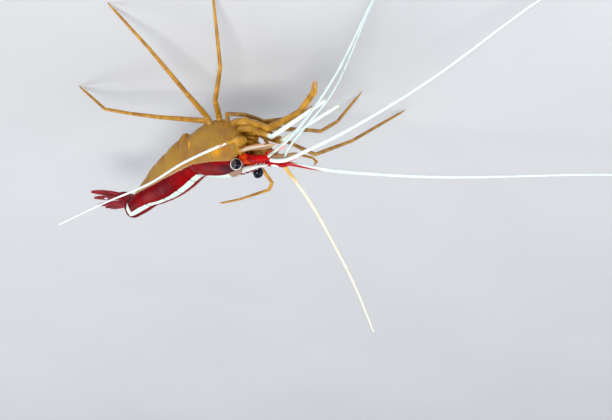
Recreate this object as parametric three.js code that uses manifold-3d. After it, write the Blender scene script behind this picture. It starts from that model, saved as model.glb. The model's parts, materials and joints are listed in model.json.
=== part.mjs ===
// Cleaner shrimp (Lysmata amboinensis), life size, standing on the floor with its feelers spread.
//
// Units are millimetres. The anatomy is laid out in the animal's own axes: x towards the head,
// y towards its left side, z towards its back, with the origin on the back where the head shield
// meets the abdomen. settle() then leans the animal a little to its right and lifts it, so that
// the feet stand on the floor z = 0.

import * as THREE from 'three';
import { mergeVertices } from 'three/addons/utils/BufferGeometryUtils.js';
import Module from 'manifold-3d';

const wasm = await Module();
wasm.setup();

// ---------------------------------------------------------------- driving dimensions

const LEAN_DEG = 8;
const BACK_HEIGHT = 20;
const GAP = 0.3;
const THINNEST_RADIUS = 0.25;

const LEFT = 1;
const RIGHT = -1;

// Head shield, one entry per cross-section from its hind edge to its face:
// back x, back z, belly x, belly z, half-width.
const SHIELD_SECTIONS = [
  [0.15, 0.55, -1.3, -8.5, 3.8],
  [2.2, 1.65, 1.5, -9.1, 4.15],
  [4.3, 2.4, 4.3, -9.4, 4.3],
  [6.6, 3.1, 7.0, -9.2, 4.3],
  [8.8, 3.6, 9.6, -8.4, 4.0],
  [11.0, 3.85, 12.0, -7.0, 3.5],
  [12.3, 3.8, 13.4, -5.4, 2.9],
  [13.0, 3.1, 14.3, -3.6, 2.3],
];
const SHIELD_RINGS = 16;
const SHIELD_SIDES = 20;

const ROSTRUM_ROOT_X = 9.0;
const ROSTRUM_TIP_X = 19.8;
const ROSTRUM_ROOT_Z = 2.7;
const ROSTRUM_TIP_Z = 4.5;
const ROSTRUM_DEPTH = 1.5;
const ROSTRUM_HALF_WIDTH = 0.42;
const ROSTRUM_TEETH = 6;
const ROSTRUM_TOOTH_HEIGHT = 0.35;
const ROSTRUM_CREST_HEIGHT = 0.5;
const ROSTRUM_CREST_END = 0.75;

// Joints of the abdomen, from the head shield to the tail fan:
// back x, back z, belly x, belly z, half-width, and how far the back turns to the left in degrees.
const ABDOMEN_JOINTS = [
  [0, 0, -1.5, -8.5, 3.8, 0],
  [-2.2, 0.7, -3.2, -8.0, 3.95, 0],
  [-6.5, 2.1, -7.2, -6.8, 3.9, 0],
  [-10.7, 2.6, -10.8, -5.2, 3.5, 0],
  [-15.7, 2.4, -14.2, -3.0, 2.9, 0],
  [-22.0, 3.4, -18.9, -0.2, 2.2, 12],
  [-24.2, -0.2, -22.0, -1.6, 1.6, 40],
];
const PLEONITE_RINGS = 5;
const PLEONITE_ARC_POINTS = 13;
const PLEURON_THICKNESS = 0.7;
const PLEURON_LOBE = 0.35;
const SHOULDER_SHARE = 0.55;
const HEM_SHARE = 0.8;
const LAST_HEM_SHARE = 0.62;
const BELLY_SHARE = 0.66;
const BELLY_CORNER_DROP = 0.06;
const TERGITE_CROWN = 0.14;

const EYE_CENTRE = [13.7, 2.8, 3.35];
const EYE_RADIUS = 1.16;
const EYESTALK_ROOT = [13.5, 0.95, 2.3];
const EYESTALK_RADIUS = 0.62;

// Tail fan: where its plates spring from, the way they point and how far they are turned to the left.
const FAN_ROOT = new THREE.Vector3(-24.4, 0.15, -0.75);
const FAN_REACH = new THREE.Vector3(-8.4, 0.1, -1.7).normalize();
const FAN_TURN_DEG = 20;
// Each plate: how far sideways and how far below the middle it starts and ends, its length, half-width
// and half-thickness, and its width at the root as a share of its widest.
const TELSON = { sideways: [0, 0], below: [0, 0], length: 8.7, halfWidth: 0.75, halfThickness: 0.3, rootShare: 0.8 };
const TAIL_PLATES = [
  { name: 'inner', sideways: [0.8, 1.75], below: [0.45, 0.6], length: 8.8, halfWidth: 0.8, halfThickness: 0.26,
    rootShare: 0.45 },
  { name: 'outer', sideways: [1.35, 3.0], below: [1.0, 1.25], length: 8.9, halfWidth: 1.0, halfThickness: 0.26,
    rootShare: 0.45 },
];

// ---------------------------------------------------------------- placing and joining

const SETTLE = new THREE.Matrix4()
  .makeRotationX(THREE.MathUtils.degToRad(LEAN_DEG))
  .setPosition(0, 0, BACK_HEIGHT);

/** A point given in the animal's axes, moved to where it stands over the floor. */
function settle(x, y, z) {
  return new THREE.Vector3(x, y, z).applyMatrix4(SETTLE);
}

/** The point of the floor under a place given in the animal's axes by x and y. */
function footprint(x, y) {
  const lean = THREE.MathUtils.degToRad(LEAN_DEG);
  const depth = (BACK_HEIGHT + y * Math.sin(lean)) / Math.cos(lean);
  return settle(x, y, -depth).setZ(0);
}

/** Smooth value of column `column` at `t` in 0..1 through evenly spaced rows of a table. */
function sampleTable(rows, column, t) {
  const span = rows.length - 1;
  const at = Math.min(t * span, span - 1e-9);
  const i = Math.floor(at);
  const u = at - i;
  const before = rows[Math.max(i - 1, 0)][column];
  const start = rows[i][column];
  const end = rows[i + 1][column];
  const after = rows[Math.min(i + 2, span)][column];
  const m0 = (end - before) / (i === 0 ? 1 : 2);
  const m1 = (after - start) / (i + 2 > span ? 1 : 2);
  const u2 = u * u;
  const u3 = u2 * u;
  return start * (2 * u3 - 3 * u2 + 1) + m0 * (u3 - 2 * u2 + u)
    + end * (3 * u2 - 2 * u3) + m1 * (u3 - u2);
}

/** Turns the faces of a closed geometry outwards. */
function faceOutwards(geometry) {
  const position = geometry.getAttribute('position');
  const index = geometry.getIndex();
  const corner = [new THREE.Vector3(), new THREE.Vector3(), new THREE.Vector3()];
  let volume = 0;
  for (let i = 0; i < index.count; i += 3) {
    corner.forEach((c, k) => c.fromBufferAttribute(position, index.getX(i + k)));
    volume += corner[0].dot(corner[1].cross(corner[2]));
  }
  if (volume < 0) {
    for (let i = 0; i < index.count; i += 3) {
      const second = index.getX(i + 1);
      index.setX(i + 1, index.getX(i + 2));
      index.setX(i + 2, second);
    }
  }
  return geometry;
}

/** A closed body through rings of points; `outline` is the flat shape used to fill both ends. */
function loft(rings, outline) {
  const sides = rings[0].length;
  const positions = rings.flatMap((ring) => ring.flatMap((p) => [p.x, p.y, p.z]));
  const indices = [];
  for (let r = 0; r + 1 < rings.length; r += 1) {
    for (let s = 0; s < sides; s += 1) {
      const a = r * sides + s;
      const b = r * sides + (s + 1) % sides;
      indices.push(a, b, b + sides, a, b + sides, a + sides);
    }
  }
  const last = (rings.length - 1) * sides;
  for (const [a, b, c] of THREE.ShapeUtils.triangulateShape(outline, [])) {
    indices.push(a, c, b, last + a, last + b, last + c);
  }
  const geometry = new THREE.BufferGeometry();
  geometry.setAttribute('position', new THREE.Float32BufferAttribute(positions, 3));
  geometry.setIndex(indices);
  return faceOutwards(geometry);
}

/** The flat circle that fills the ends of a round loft. */
function circleOutline(sides) {
  return Array.from({ length: sides }, (_, s) => {
    const angle = (2 * Math.PI * s) / sides;
    return new THREE.Vector2(Math.cos(angle), Math.sin(angle));
  });
}

function toManifold(geometry) {
  const bare = geometry.clone();
  bare.deleteAttribute('normal');
  bare.deleteAttribute('uv');
  const merged = mergeVertices(bare, 1e-5);
  return new wasm.Manifold(new wasm.Mesh({
    numProp: 3,
    vertProperties: new Float32Array(merged.getAttribute('position').array),
    triVerts: new Uint32Array(merged.getIndex().array),
  }));
}

function toGeometry(manifold) {
  const mesh = manifold.getMesh();
  const geometry = new THREE.BufferGeometry();
  geometry.setAttribute('position', new THREE.Float32BufferAttribute(mesh.vertProperties, 3));
  geometry.setIndex(Array.from(mesh.triVerts));
  return geometry;
}

// ---------------------------------------------------------------- round limbs

const JOINT_KNOB = 1.12;
const JOINT_COLLAR = 0.6;
const COLLAR_SPARE = 1.1;
const COLLAR_LIMIT = 0.45;
const MIDDLE_RING_SPAN = 3;
const TANGENT_STEP = 0.002;
const FEELER_RING_SPACING = 3;

/**
 * A round limb along a curve, as wide at each ring as `radiusAt` says. `stops` are the ring
 * places, 0 at the root and 1 at the tip. A standing limb ends in a small level foot.
 */
function limb(curve, stops, radiusAt, { sides = 6, standing = false } = {}) {
  const normal = new THREE.Vector3(0, 0, 1);
  const rings = stops.map((t, i) => {
    const isFoot = standing && i === stops.length - 1;
    const tangent = isFoot ? new THREE.Vector3(0, 0, -1) : curve.getTangent(t);
    normal.addScaledVector(tangent, -normal.dot(tangent)).normalize();
    const binormal = new THREE.Vector3().crossVectors(tangent, normal);
    const radius = radiusAt(t);
    return Array.from({ length: sides }, (_, s) => {
      const angle = (2 * Math.PI * s) / sides;
      return curve.getPoint(t)
        .addScaledVector(normal, Math.cos(angle) * radius)
        .addScaledVector(binormal, Math.sin(angle) * radius);
    });
  });
  return loft(rings, circleOutline(sides));
}

/** The length of a jointed limb that holds place `t`: its far joint, and the share of it passed. */
function stretchOf(places, t) {
  const far = Math.max(1, places.findIndex((place) => place >= t));
  return { far, share: (t - places[far - 1]) / (places[far] - places[far - 1]) };
}

/** A path of straight lengths through joints; `places` holds the joints' places, from 0 to 1. */
class JointedPath extends THREE.Curve {
  constructor(joints) {
    super();
    this.joints = joints;
    const reach = [0];
    for (let i = 1; i < joints.length; i += 1) {
      reach.push(reach[i - 1] + joints[i].distanceTo(joints[i - 1]));
    }
    this.places = reach.map((r) => r / reach[joints.length - 1]);
  }

  getPoint(t) {
    const { far, share } = stretchOf(this.places, t);
    return this.joints[far - 1].clone().lerp(this.joints[far], share);
  }

  getTangent(t) {
    const ahead = this.getPoint(Math.min(t + TANGENT_STEP, 1));
    return ahead.sub(this.getPoint(Math.max(t - TANGENT_STEP, 0))).normalize();
  }
}

/** How far along the limb the rings next to joint `i` keep from it, so that they don't cross. */
function collar(joints, radii, i) {
  if (i === 0 || i === joints.length - 1) {
    return 0;
  }
  const before = new THREE.Vector3().subVectors(joints[i], joints[i - 1]);
  const after = new THREE.Vector3().subVectors(joints[i + 1], joints[i]);
  const turn = before.angleTo(after);
  return Math.max(JOINT_COLLAR, radii[i] * JOINT_KNOB * Math.tan(turn / 2) * COLLAR_SPARE);
}

/** Ring places for a jointed limb: at each joint, just past it and just short of the next. */
function jointStops(joints, radii, places) {
  const stops = [places[0]];
  for (let i = 1; i < places.length; i += 1) {
    const span = places[i] - places[i - 1];
    const share = span / joints[i].distanceTo(joints[i - 1]);
    const past = Math.min(collar(joints, radii, i - 1) * share, span * COLLAR_LIMIT);
    const short = Math.min(collar(joints, radii, i) * share, span * COLLAR_LIMIT);
    const start = places[i - 1] + past;
    const end = places[i] - short;
    const middle = span / share > MIDDLE_RING_SPAN ? [(start + end) / 2] : [];
    stops.push(...(past > 0 ? [start] : []), ...middle, ...(short > 0 ? [end] : []), places[i]);
  }
  return stops;
}

/** A jointed limb with a slight knob at every joint. */
function jointedLimb(joints, radii, options = {}) {
  const path = new JointedPath(joints);
  const radiusAt = (t) => {
    const { far, share } = stretchOf(path.places, t);
    const plain = THREE.MathUtils.lerp(radii[far - 1], radii[far], share);
    const isKnob = path.places.slice(1, -1).includes(t);
    return Math.max(isKnob ? plain * JOINT_KNOB : plain, THINNEST_RADIUS);
  };
  return limb(path, jointStops(joints, radii, path.places), radiusAt, options);
}

/** A feeler: a smooth whip that thins from its root to its tip. */
function feeler(points, rootRadius) {
  const curve = new THREE.CatmullRomCurve3(points, false, 'centripetal');
  const steps = Math.ceil(curve.getLength() / FEELER_RING_SPACING);
  const stops = Array.from({ length: steps + 1 }, (_, i) => i / steps);
  return limb(curve, stops, (t) => THREE.MathUtils.lerp(rootRadius, THINNEST_RADIUS, t));
}

// ---------------------------------------------------------------- head shield

/** Half-width of the head shield at share `a` of the way from back to belly. */
function shieldBulge(a) {
  const round = Math.pow(Math.max(1 - Math.pow(Math.abs(2 * a - 1), 2.2), 0), 0.5);
  return round * (1 + 0.12 * (a - 0.5));
}

/** One ring of the head shield at place `t`, grown outwards by `grow`. */
function shieldRing(t, grow) {
  const [backX, backZ, bellyX, bellyZ, halfWidth] = [0, 1, 2, 3, 4]
    .map((column) => sampleTable(SHIELD_SECTIONS, column, t));
  const down = new THREE.Vector2(bellyX - backX, bellyZ - backZ);
  const stretch = grow / down.length();
  const forward = grow * (Number(t === 1) - Number(t === 0));
  return Array.from({ length: SHIELD_SIDES }, (_, s) => {
    const angle = (2 * Math.PI * s) / SHIELD_SIDES;
    const a = (1 - Math.cos(angle)) / 2;
    const side = Math.sign(Math.sin(angle)) * shieldBulge(a) * (halfWidth + grow);
    const reach = a + (2 * a - 1) * stretch;
    return settle(backX + down.x * reach + forward, side, backZ + down.y * reach);
  });
}

function shieldShell(grow) {
  const rings = Array.from({ length: SHIELD_RINGS + 1 }, (_, r) => shieldRing(r / SHIELD_RINGS, grow));
  return loft(rings, circleOutline(SHIELD_SIDES));
}

/** The beak between the eyes, with saw teeth along its upper edge. */
function rostrum() {
  const steps = ROSTRUM_TEETH * 4;
  const rings = Array.from({ length: steps + 1 }, (_, r) => {
    const t = r / steps;
    const x = THREE.MathUtils.lerp(ROSTRUM_ROOT_X, ROSTRUM_TIP_X, t);
    const middle = THREE.MathUtils.lerp(ROSTRUM_ROOT_Z, ROSTRUM_TIP_Z, t);
    const taper = 1 - 0.72 * t;
    const tooth = ((r % 4) / 4) * ROSTRUM_TOOTH_HEIGHT * (r < steps ? taper : 0);
    const width = Math.max(ROSTRUM_HALF_WIDTH * (1 - 0.4 * t), THINNEST_RADIUS);
    const crest = ROSTRUM_CREST_HEIGHT * Math.sin(Math.PI * Math.min(t / ROSTRUM_CREST_END, 1));
    return Array.from({ length: 8 }, (__, s) => {
      const angle = (2 * Math.PI * s) / 8;
      const above = Math.max(Math.cos(angle), 0) * crest;
      const rise = Math.cos(angle) * (ROSTRUM_DEPTH / 2) * taper + above + (s === 0 ? tooth : 0);
      return settle(x, Math.sin(angle) * width, middle + rise);
    });
  });
  return loft(rings, circleOutline(8));
}

// ---------------------------------------------------------------- abdomen

function backCorner(joint) {
  return new THREE.Vector2(joint[0], joint[1]);
}

function bellyCorner(joint) {
  return new THREE.Vector2(joint[2], joint[3]);
}

/** A point between two joint corners, kept clear of both neighbours by half the gap. */
function betweenCorners(from, to, u) {
  const span = new THREE.Vector2().subVectors(to, from);
  const trim = GAP / 2 / span.length();
  return from.clone().addScaledVector(span, trim + u * (1 - 2 * trim));
}

/** The arched back and upper sides of a pleonite's section, from its right to its left shoulder. */
function tergiteArc() {
  return Array.from({ length: PLEONITE_ARC_POINTS }, (_, i) => {
    const angle = Math.PI * (i / (PLEONITE_ARC_POINTS - 1) - 0.5);
    const across = Math.sign(angle) * Math.abs(Math.sin(angle)) ** 0.9;
    return new THREE.Vector2(across, (1 - Math.cos(angle)) * SHOULDER_SHARE);
  });
}

/**
 * Cross-section of a pleonite, as (sideways, downwards) from the middle of its back. The first
 * five have side flaps round a raised belly; the last one is closed below.
 */
function pleoniteSection(isLast, halfWidth, depth) {
  const hem = isLast ? LAST_HEM_SHARE : HEM_SHARE;
  const leftFlank = [[0.97, 0.8], [hem, 1]];
  const rightFlank = [[-hem, 1], [-0.97, 0.8]];
  const inner = hem - PLEURON_THICKNESS / halfWidth;
  const corner = BELLY_SHARE + BELLY_CORNER_DROP;
  const belly = isLast
    ? [[0, 1.02]]
    : [[inner, 0.99], [inner, corner], [0, BELLY_SHARE], [-inner, corner], [-inner, 0.99]];
  const lower = [...leftFlank, ...belly, ...rightFlank];
  const corners = [...tergiteArc(), ...lower.map(([across, down]) => new THREE.Vector2(across, down))];
  return corners.map((p) => new THREE.Vector2(p.x * halfWidth, p.y * depth));
}

function pleonite(number) {
  const isLast = number === ABDOMEN_JOINTS.length - 1;
  const front = ABDOMEN_JOINTS[number - 1];
  const rear = ABDOMEN_JOINTS[number];
  let outline = null;
  const rings = Array.from({ length: PLEONITE_RINGS + 1 }, (_, r) => {
    const u = r / PLEONITE_RINGS;
    const back = betweenCorners(backCorner(front), backCorner(rear), u);
    const belly = betweenCorners(bellyCorner(front), bellyCorner(rear), u);
    const swell = Math.sin(Math.PI * u);
    const down = new THREE.Vector2().subVectors(belly, back);
    const depth = down.length();
    down.normalize();
    back.addScaledVector(down, -TERGITE_CROWN * swell);
    const reach = depth + (isLast ? 0 : PLEURON_LOBE * (swell - 0.5));
    const halfWidth = THREE.MathUtils.lerp(front[4], rear[4], u) + TERGITE_CROWN * swell;
    const section = pleoniteSection(isLast, halfWidth, reach);
    outline = outline ?? section;
    const turn = THREE.MathUtils.degToRad(THREE.MathUtils.lerp(front[5], rear[5], u));
    const centre = new THREE.Vector2(0, depth / 2);
    return section.map((corner) => {
      const p = corner.clone().rotateAround(centre, turn);
      return settle(back.x + down.x * p.y, p.x, back.y + down.y * p.y);
    });
  });
  return loft(rings, outline);
}

// ---------------------------------------------------------------- flat blades

/** A leaf-shaped plate between two points, lying across the sideways direction it is given. */
function leaf(start, end, sideways, { halfWidth, halfThickness, rootShare = 0.45 }) {
  const along = new THREE.Vector3().subVectors(end, start).normalize();
  const across = sideways.clone().addScaledVector(along, -along.dot(sideways)).normalize();
  const up = new THREE.Vector3().crossVectors(along, across);
  const steps = 6;
  const sides = 6;
  const rings = Array.from({ length: steps + 1 }, (_, r) => {
    const t = r / steps;
    const swell = Math.pow(Math.sin(Math.PI * (0.14 + 0.78 * t)), 0.7);
    const width = Math.max(halfWidth * THREE.MathUtils.lerp(rootShare, 1, Math.min(1, t * 3)) * swell, 0.3);
    const centre = start.clone().lerp(end, t);
    return Array.from({ length: sides }, (__, s) => {
      const angle = (2 * Math.PI * s) / sides;
      const p = centre.clone()
        .addScaledVector(across, Math.cos(angle) * width)
        .addScaledVector(up, Math.sin(angle) * halfThickness);
      return settle(p.x, p.y, p.z);
    });
  });
  return loft(rings, circleOutline(sides));
}

/** A level leaf-shaped plate from root to tip on one side of the animal. */
function blade({ root, tip, ...sizes }, side) {
  const start = new THREE.Vector3(root[0], root[1] * side, root[2]);
  const end = new THREE.Vector3(tip[0], tip[1] * side, tip[2]);
  return leaf(start, end, new THREE.Vector3(0, 1, 0), sizes);
}

/** A plate of the tail fan. */
function tailPlate({ sideways, below, length, ...sizes }, side) {
  const turn = THREE.MathUtils.degToRad(FAN_TURN_DEG);
  const across = new THREE.Vector3(0, Math.cos(turn), -Math.sin(turn));
  across.addScaledVector(FAN_REACH, -FAN_REACH.dot(across)).normalize();
  const down = new THREE.Vector3().crossVectors(FAN_REACH, across);
  const [start, end] = [0, 1].map((i) => FAN_ROOT.clone()
    .addScaledVector(FAN_REACH, i * length)
    .addScaledVector(across, sideways[i] * side)
    .addScaledVector(down, below[i]));
  return leaf(start, end, across, sizes);
}

// ---------------------------------------------------------------- limbs of the head and thorax

// Joints of each limb in the animal's axes, root first, with its radius at each joint.
const ANTENNULE_STALKS = {
  left: { joints: [[14.9, 1.5, 1.8], [18.5, 1.75, 3.3], [22.4, 1.9, 4.4]], radii: [0.8, 0.74, 0.6] },
  right: { joints: [[14.9, -1.5, 1.45], [18.4, -1.85, 3.1], [22.3, -2.0, 4.6]], radii: [0.85, 0.78, 0.62] },
};

const ANTENNA_STALKS = {
  left: {
    joints: [[13.4, 1.8, -1.2], [15.4, 3.2, -0.9], [17.5, 4.5, 0.0], [17.3, 6.1, 0.4], [15.7, 7.0, 0.7]],
    radii: [0.9, 1.0, 0.8, 0.62, 0.42],
  },
  right: {
    joints: [[13.4, -1.8, -1.2], [15.4, -3.4, -1.0], [17.2, -5.2, 0.6], [18.5, -5.4, 2.4]],
    radii: [0.9, 1.0, 0.75, 0.5],
  },
};

const SCALE = { root: [16.0, 3.2, 0.9], tip: [25.0, 3.3, 2.4], halfWidth: 1.15, halfThickness: 0.27 };

const FEELERS = [
  { name: 'antennule_left_outer', radius: 0.42,
    points: [[22.9, 2.45, 4.2], [26.4, 2.1, 2.9], [33.1, 2.8, 0.2], [43.1, 4.8, -4.8], [58.1, 10.5, -12.1],
      [70, 15.5, -15.5]] },
  { name: 'antennule_left_inner', radius: 0.45,
    points: [[22.9, 1.3, 5.0], [24.5, -0.1, 5.0], [28.4, -1.8, 3.8], [36.3, -4.3, 1.6], [47.0, -7.2, -2.0],
      [56.3, -8.8, -5.0], [78.1, -11.4, -12.6], [86, -12.6, -14.3]] },
  { name: 'antennule_right_inner', radius: 0.38,
    points: [[22.9, -1.3, 3.9], [24.8, -0.5, 2.7], [28.7, -0.4, 0.2], [36.1, -1.4, -5.8],
      [52.2, 4.0, -16.9], [61, 7.5, -18.6]] },
  { name: 'antennule_right_outer', radius: 0.42,
    points: [[22.7, -2.75, 4.4], [24.0, -7.8, 4.1], [26.8, -13.8, 4.0], [36.0, -31.1, 2.8],
      [58.6, -57.0, 1.6], [66.5, -65.5, 2.4]] },
  { name: 'antenna_left', radius: 0.4,
    points: [[15.25, 7.1, 0.8], [5.1, 8.9, 2.3], [-4.1, 9.6, 4.3], [-18.8, 10.6, 4.5], [-32.7, 10.8, 5.0]] },
  { name: 'antenna_right', radius: 0.4,
    points: [[18.65, -5.6, 3.0], [17.5, -13.1, 7.4], [15.1, -21.1, 12.1], [11.3, -32.1, 19.0],
      [7.5, -41.5, 26.0]] },
];

const MAXILLIPEDS = {
  left: {
    joints: [[13.5, 1.6, -4.1], [14.6, 2.1, -4.2], [18.2, 3.2, -2.6], [22.8, 1.9, 0.2], [37.8, 2.4, -2.1]],
    radii: [0.8, 0.88, 0.8, 0.5, 0.3],
  },
  right: {
    joints: [[13.6, -1.7, -4.2], [14.6, -1.9, -4.6], [17.2, -2.4, -3.0], [20.9, -1.9, -0.6],
      [36.1, -2.9, -3.4]],
    radii: [0.7, 0.8, 0.9, 0.5, 0.3],
  },
};

// Legs that end on the floor give the place of the foot by x and y in `foot`.
const LEGS = [
  { name: 'leg_left_1', radii: [0.6, 0.65, 0.7, 0.65, 0.6, 0.6, 0.3],
    joints: [[11.7, 1.6, -5.2], [12.3, 2.0, -6.8], [17.0, 3.3, -5.3], [21.7, 2.0, -1.9], [28.9, 0.7, -3.0],
      [34.2, 1.8, -5.3], [35.5, 2.8, -6.6]] },
  { name: 'leg_left_2', radii: [0.5, 0.5, 0.5, 0.4, 0.35, 0.28],
    joints: [[10.2, 2.0, -6.6], [10.3, 2.4, -8.7], [14.9, 1.6, -7.2], [19.5, 0.7, -4.6], [24.3, 0.0, -3.8],
      [28.1, -0.3, -4.4]] },
  { name: 'leg_left_3', radii: [0.75, 0.7, 0.58, 0.45, 0.3], foot: [26.6, 20.9],
    joints: [[8.3, 2.6, -7.9], [8.4, 2.9, -9.0], [11.3, 6.4, -9.8], [19.9, 12.7, -12.0]] },
  { name: 'leg_left_4', radii: [0.75, 0.7, 0.55, 0.42, 0.3], foot: [6.7, 30.1],
    joints: [[6.1, 3.0, -7.7], [6.1, 3.9, -8.9], [7.5, 10.5, -11.4], [9.4, 21.6, -16.4]] },
  { name: 'leg_left_5', radii: [0.75, 0.7, 0.52, 0.45, 0.4, 0.3], foot: [-22.6, 14.5],
    joints: [[4.1, 2.1, -8.0], [4.1, 2.5, -9.2], [-3.6, 8.4, -10.7], [-9.4, 10.9, -12.6],
      [-15.1, 13.3, -14.8]] },
  { name: 'leg_right_1', radii: [0.6, 0.6, 0.58, 0.55, 0.3],
    joints: [[11.7, -1.6, -5.0], [12.0, -2.0, -7.0], [17.5, -0.9, -5.4], [23.7, -2.1, -3.9],
      [29.3, -2.5, -5.3]] },
  { name: 'leg_right_2', radii: [0.5, 0.5, 0.48, 0.38, 0.33, 0.3, 0.28, 0.26],
    joints: [[10.2, -2.0, -6.9], [10.5, -2.7, -8.9], [11.5, -4.0, -8.5], [15.2, -6.2, -0.5],
      [19.4, -7.5, -0.3], [22.5, -9.3, 1.1], [22.8, -10.0, 1.8], [22.3, -9.8, 2.5]] },
  { name: 'leg_right_3', radii: [0.75, 0.72, 0.7, 0.5, 0.48, 0.4, 0.3], foot: [25.9, -32.4],
    joints: [[8.1, -2.2, -7.0], [8.4, -3.1, -9.0], [9.4, -4.5, -8.8], [15.1, -11.4, -4.7],
      [17.5, -14.8, -2.9], [21.4, -21.4, -6.7]] },
  { name: 'leg_right_4', radii: [0.75, 0.7, 0.5, 0.45, 0.4, 0.3], foot: [23.5, -22.1],
    joints: [[6.0, -2.2, -7.0], [6.1, -3.0, -9.1], [15.3, -15.2, -9.1], [16.9, -17.0, -8.9],
      [19.1, -19.5, -11.1]] },
  { name: 'leg_right_5', radii: [0.75, 0.7, 0.66, 0.5, 0.45, 0.35, 0.26],
    joints: [[4.0, -1.8, -7.0], [4.2, -2.7, -9.3], [4.6, -4.9, -8.9], [5.3, -14.5, -0.4],
      [3.1, -15.7, 0.1], [-4.3, -14.4, 0.4], [-9.2, -13.7, 0.0]] },
];

// Where each pair of swimming legs hangs, by its pleonite.
const SWIMMERET_PAIRS = 5;
const SWIMMERET_LENGTHS = [3.6, 4.0, 3.8, 3.2, 2.4];
const SWIMMERET_SIDE = 0.3;
const SWIMMERET_DROP = 1.65;
const SWIMMERET_SLANT = new THREE.Vector2(0.25, -1);

function eyeball(side) {
  const [x, y, z] = EYE_CENTRE;
  const ball = new THREE.SphereGeometry(EYE_RADIUS, 14, 10);
  const centre = settle(x, y * side, z);
  ball.translate(centre.x, centre.y, centre.z);
  return toGeometry(toManifold(ball));
}

function eyestalk(side) {
  const root = new THREE.Vector3(EYESTALK_ROOT[0], EYESTALK_ROOT[1] * side, EYESTALK_ROOT[2]);
  const eye = new THREE.Vector3(EYE_CENTRE[0], EYE_CENTRE[1] * side, EYE_CENTRE[2]);
  const end = eye.clone().lerp(root, (EYE_RADIUS + GAP) / eye.distanceTo(root));
  const joints = [root, end].map((p) => settle(p.x, p.y, p.z));
  const path = new THREE.LineCurve3(...joints);
  return clearOfShield(limb(path, [0, 0.5, 1], (t) => EYESTALK_RADIUS * (1 + 0.25 * t), { sides: 10 }));
}

function settled(points) {
  return points.map(([x, y, z]) => settle(x, y, z));
}

/** A walking or clawed leg, cut clear of the head shield at its root. */
function leg({ joints, radii, foot }) {
  const places = settled(joints);
  if (foot) {
    places.push(footprint(...foot));
  }
  const body = jointedLimb(places, radii, { standing: Boolean(foot) });
  return clearOfShield(body);
}

const shieldReach = toManifold(shieldShell(GAP));

function clearOfShield(geometry) {
  return toGeometry(toManifold(geometry).subtract(shieldReach));
}

/** A paddle that hangs from the belly of a pleonite and lies back along it. */
function swimmeret(number, side) {
  const front = ABDOMEN_JOINTS[number - 1];
  const rear = ABDOMEN_JOINTS[number];
  const depth = backCorner(front).distanceTo(bellyCorner(front));
  const share = BELLY_SHARE + BELLY_CORNER_DROP + SWIMMERET_DROP / depth;
  const ahead = backCorner(front).lerp(bellyCorner(front), share);
  const behind = backCorner(rear).lerp(bellyCorner(rear), share);
  const backwards = new THREE.Vector2().subVectors(behind, ahead).normalize();
  const rootPlace = ahead.lerp(behind, 0.35);
  const length = SWIMMERET_LENGTHS[number - 1];
  const halfWidth = 0.1 * (front[4] + rear[4]);
  const tipPlace = rootPlace.clone()
    .addScaledVector(backwards, 0.9 * length)
    .addScaledVector(SWIMMERET_SLANT, 0.32 * length);
  const y = halfWidth + SWIMMERET_SIDE;
  return blade({
    root: [rootPlace.x, y, rootPlace.y],
    tip: [tipPlace.x, y, tipPlace.y],
    halfWidth,
    halfThickness: THINNEST_RADIUS,
    rootShare: 0.7,
  }, side);
}

/** The closed mouth parts between the third maxillipeds. */
function mouthparts() {
  const lump = new THREE.SphereGeometry(1, 12, 8);
  lump.scale(1.05, 0.85, 1.3);
  const centre = settle(15.75, 0, -2.3);
  lump.translate(centre.x, centre.y, centre.z);
  return toGeometry(toManifold(lump).subtract(shieldReach));
}

// ---------------------------------------------------------------- finishes

function finish(color, roughness, metalness = 0) {
  return new THREE.MeshStandardMaterial({ color, roughness, metalness });
}

const AMBER_SHELL = finish(0xb0863c, 0.35);
const AMBER_LIMB = finish(0xbe8a22, 0.4);
const CRIMSON_SHELL = finish(0xa8101c, 0.35);
const WHITE_FEELER = finish(0xeef8f4, 0.45);
const CORNEA = finish(0x14141c, 0.12);
const CLEAR_BLADE = finish(0xb4a472, 0.3);

// ---------------------------------------------------------------- the animal

const shrimp = new THREE.Group();

function add(name, geometry, material) {
  geometry.computeVertexNormals();
  const mesh = new THREE.Mesh(geometry, material);
  mesh.name = name;
  shrimp.add(mesh);
}

const shield = toManifold(shieldShell(0)).add(toManifold(rostrum()));
add('carapace', toGeometry(shield), AMBER_SHELL);
for (let number = 1; number < ABDOMEN_JOINTS.length; number += 1) {
  add(`pleonite_${number}`, pleonite(number), AMBER_SHELL);
}
add('telson', tailPlate(TELSON, LEFT), CRIMSON_SHELL);
add('mouthparts', mouthparts(), AMBER_LIMB);

for (const [sideName, side] of [['left', LEFT], ['right', RIGHT]]) {
  for (const plate of TAIL_PLATES) {
    add(`uropod_${sideName}_${plate.name}`, tailPlate(plate, side), CRIMSON_SHELL);
  }
  add(`eye_${sideName}`, eyeball(side), CORNEA);
  add(`eyestalk_${sideName}`, eyestalk(side), AMBER_LIMB);
  add(`antennal_scale_${sideName}`, blade(SCALE, side), CLEAR_BLADE);
  const antennule = ANTENNULE_STALKS[sideName];
  add(`antennule_stalk_${sideName}`, clearOfShield(jointedLimb(settled(antennule.joints), antennule.radii,
    { sides: 8 })), CRIMSON_SHELL);
  const antenna = ANTENNA_STALKS[sideName];
  add(`antenna_stalk_${sideName}`, clearOfShield(jointedLimb(settled(antenna.joints), antenna.radii,
    { sides: 8 })), AMBER_LIMB);
  const maxilliped = MAXILLIPEDS[sideName];
  add(`maxilliped_${sideName}`, clearOfShield(jointedLimb(settled(maxilliped.joints), maxilliped.radii)),
    AMBER_LIMB);
  for (let number = 1; number <= SWIMMERET_PAIRS; number += 1) {
    add(`swimmeret_${sideName}_${number}`, swimmeret(number, side), AMBER_LIMB);
  }
}

for (const whip of FEELERS) {
  add(whip.name, feeler(settled(whip.points), whip.radius), WHITE_FEELER);
}
for (const walkingLeg of LEGS) {
  add(walkingLeg.name, leg(walkingLeg), AMBER_LIMB);
}

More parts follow.
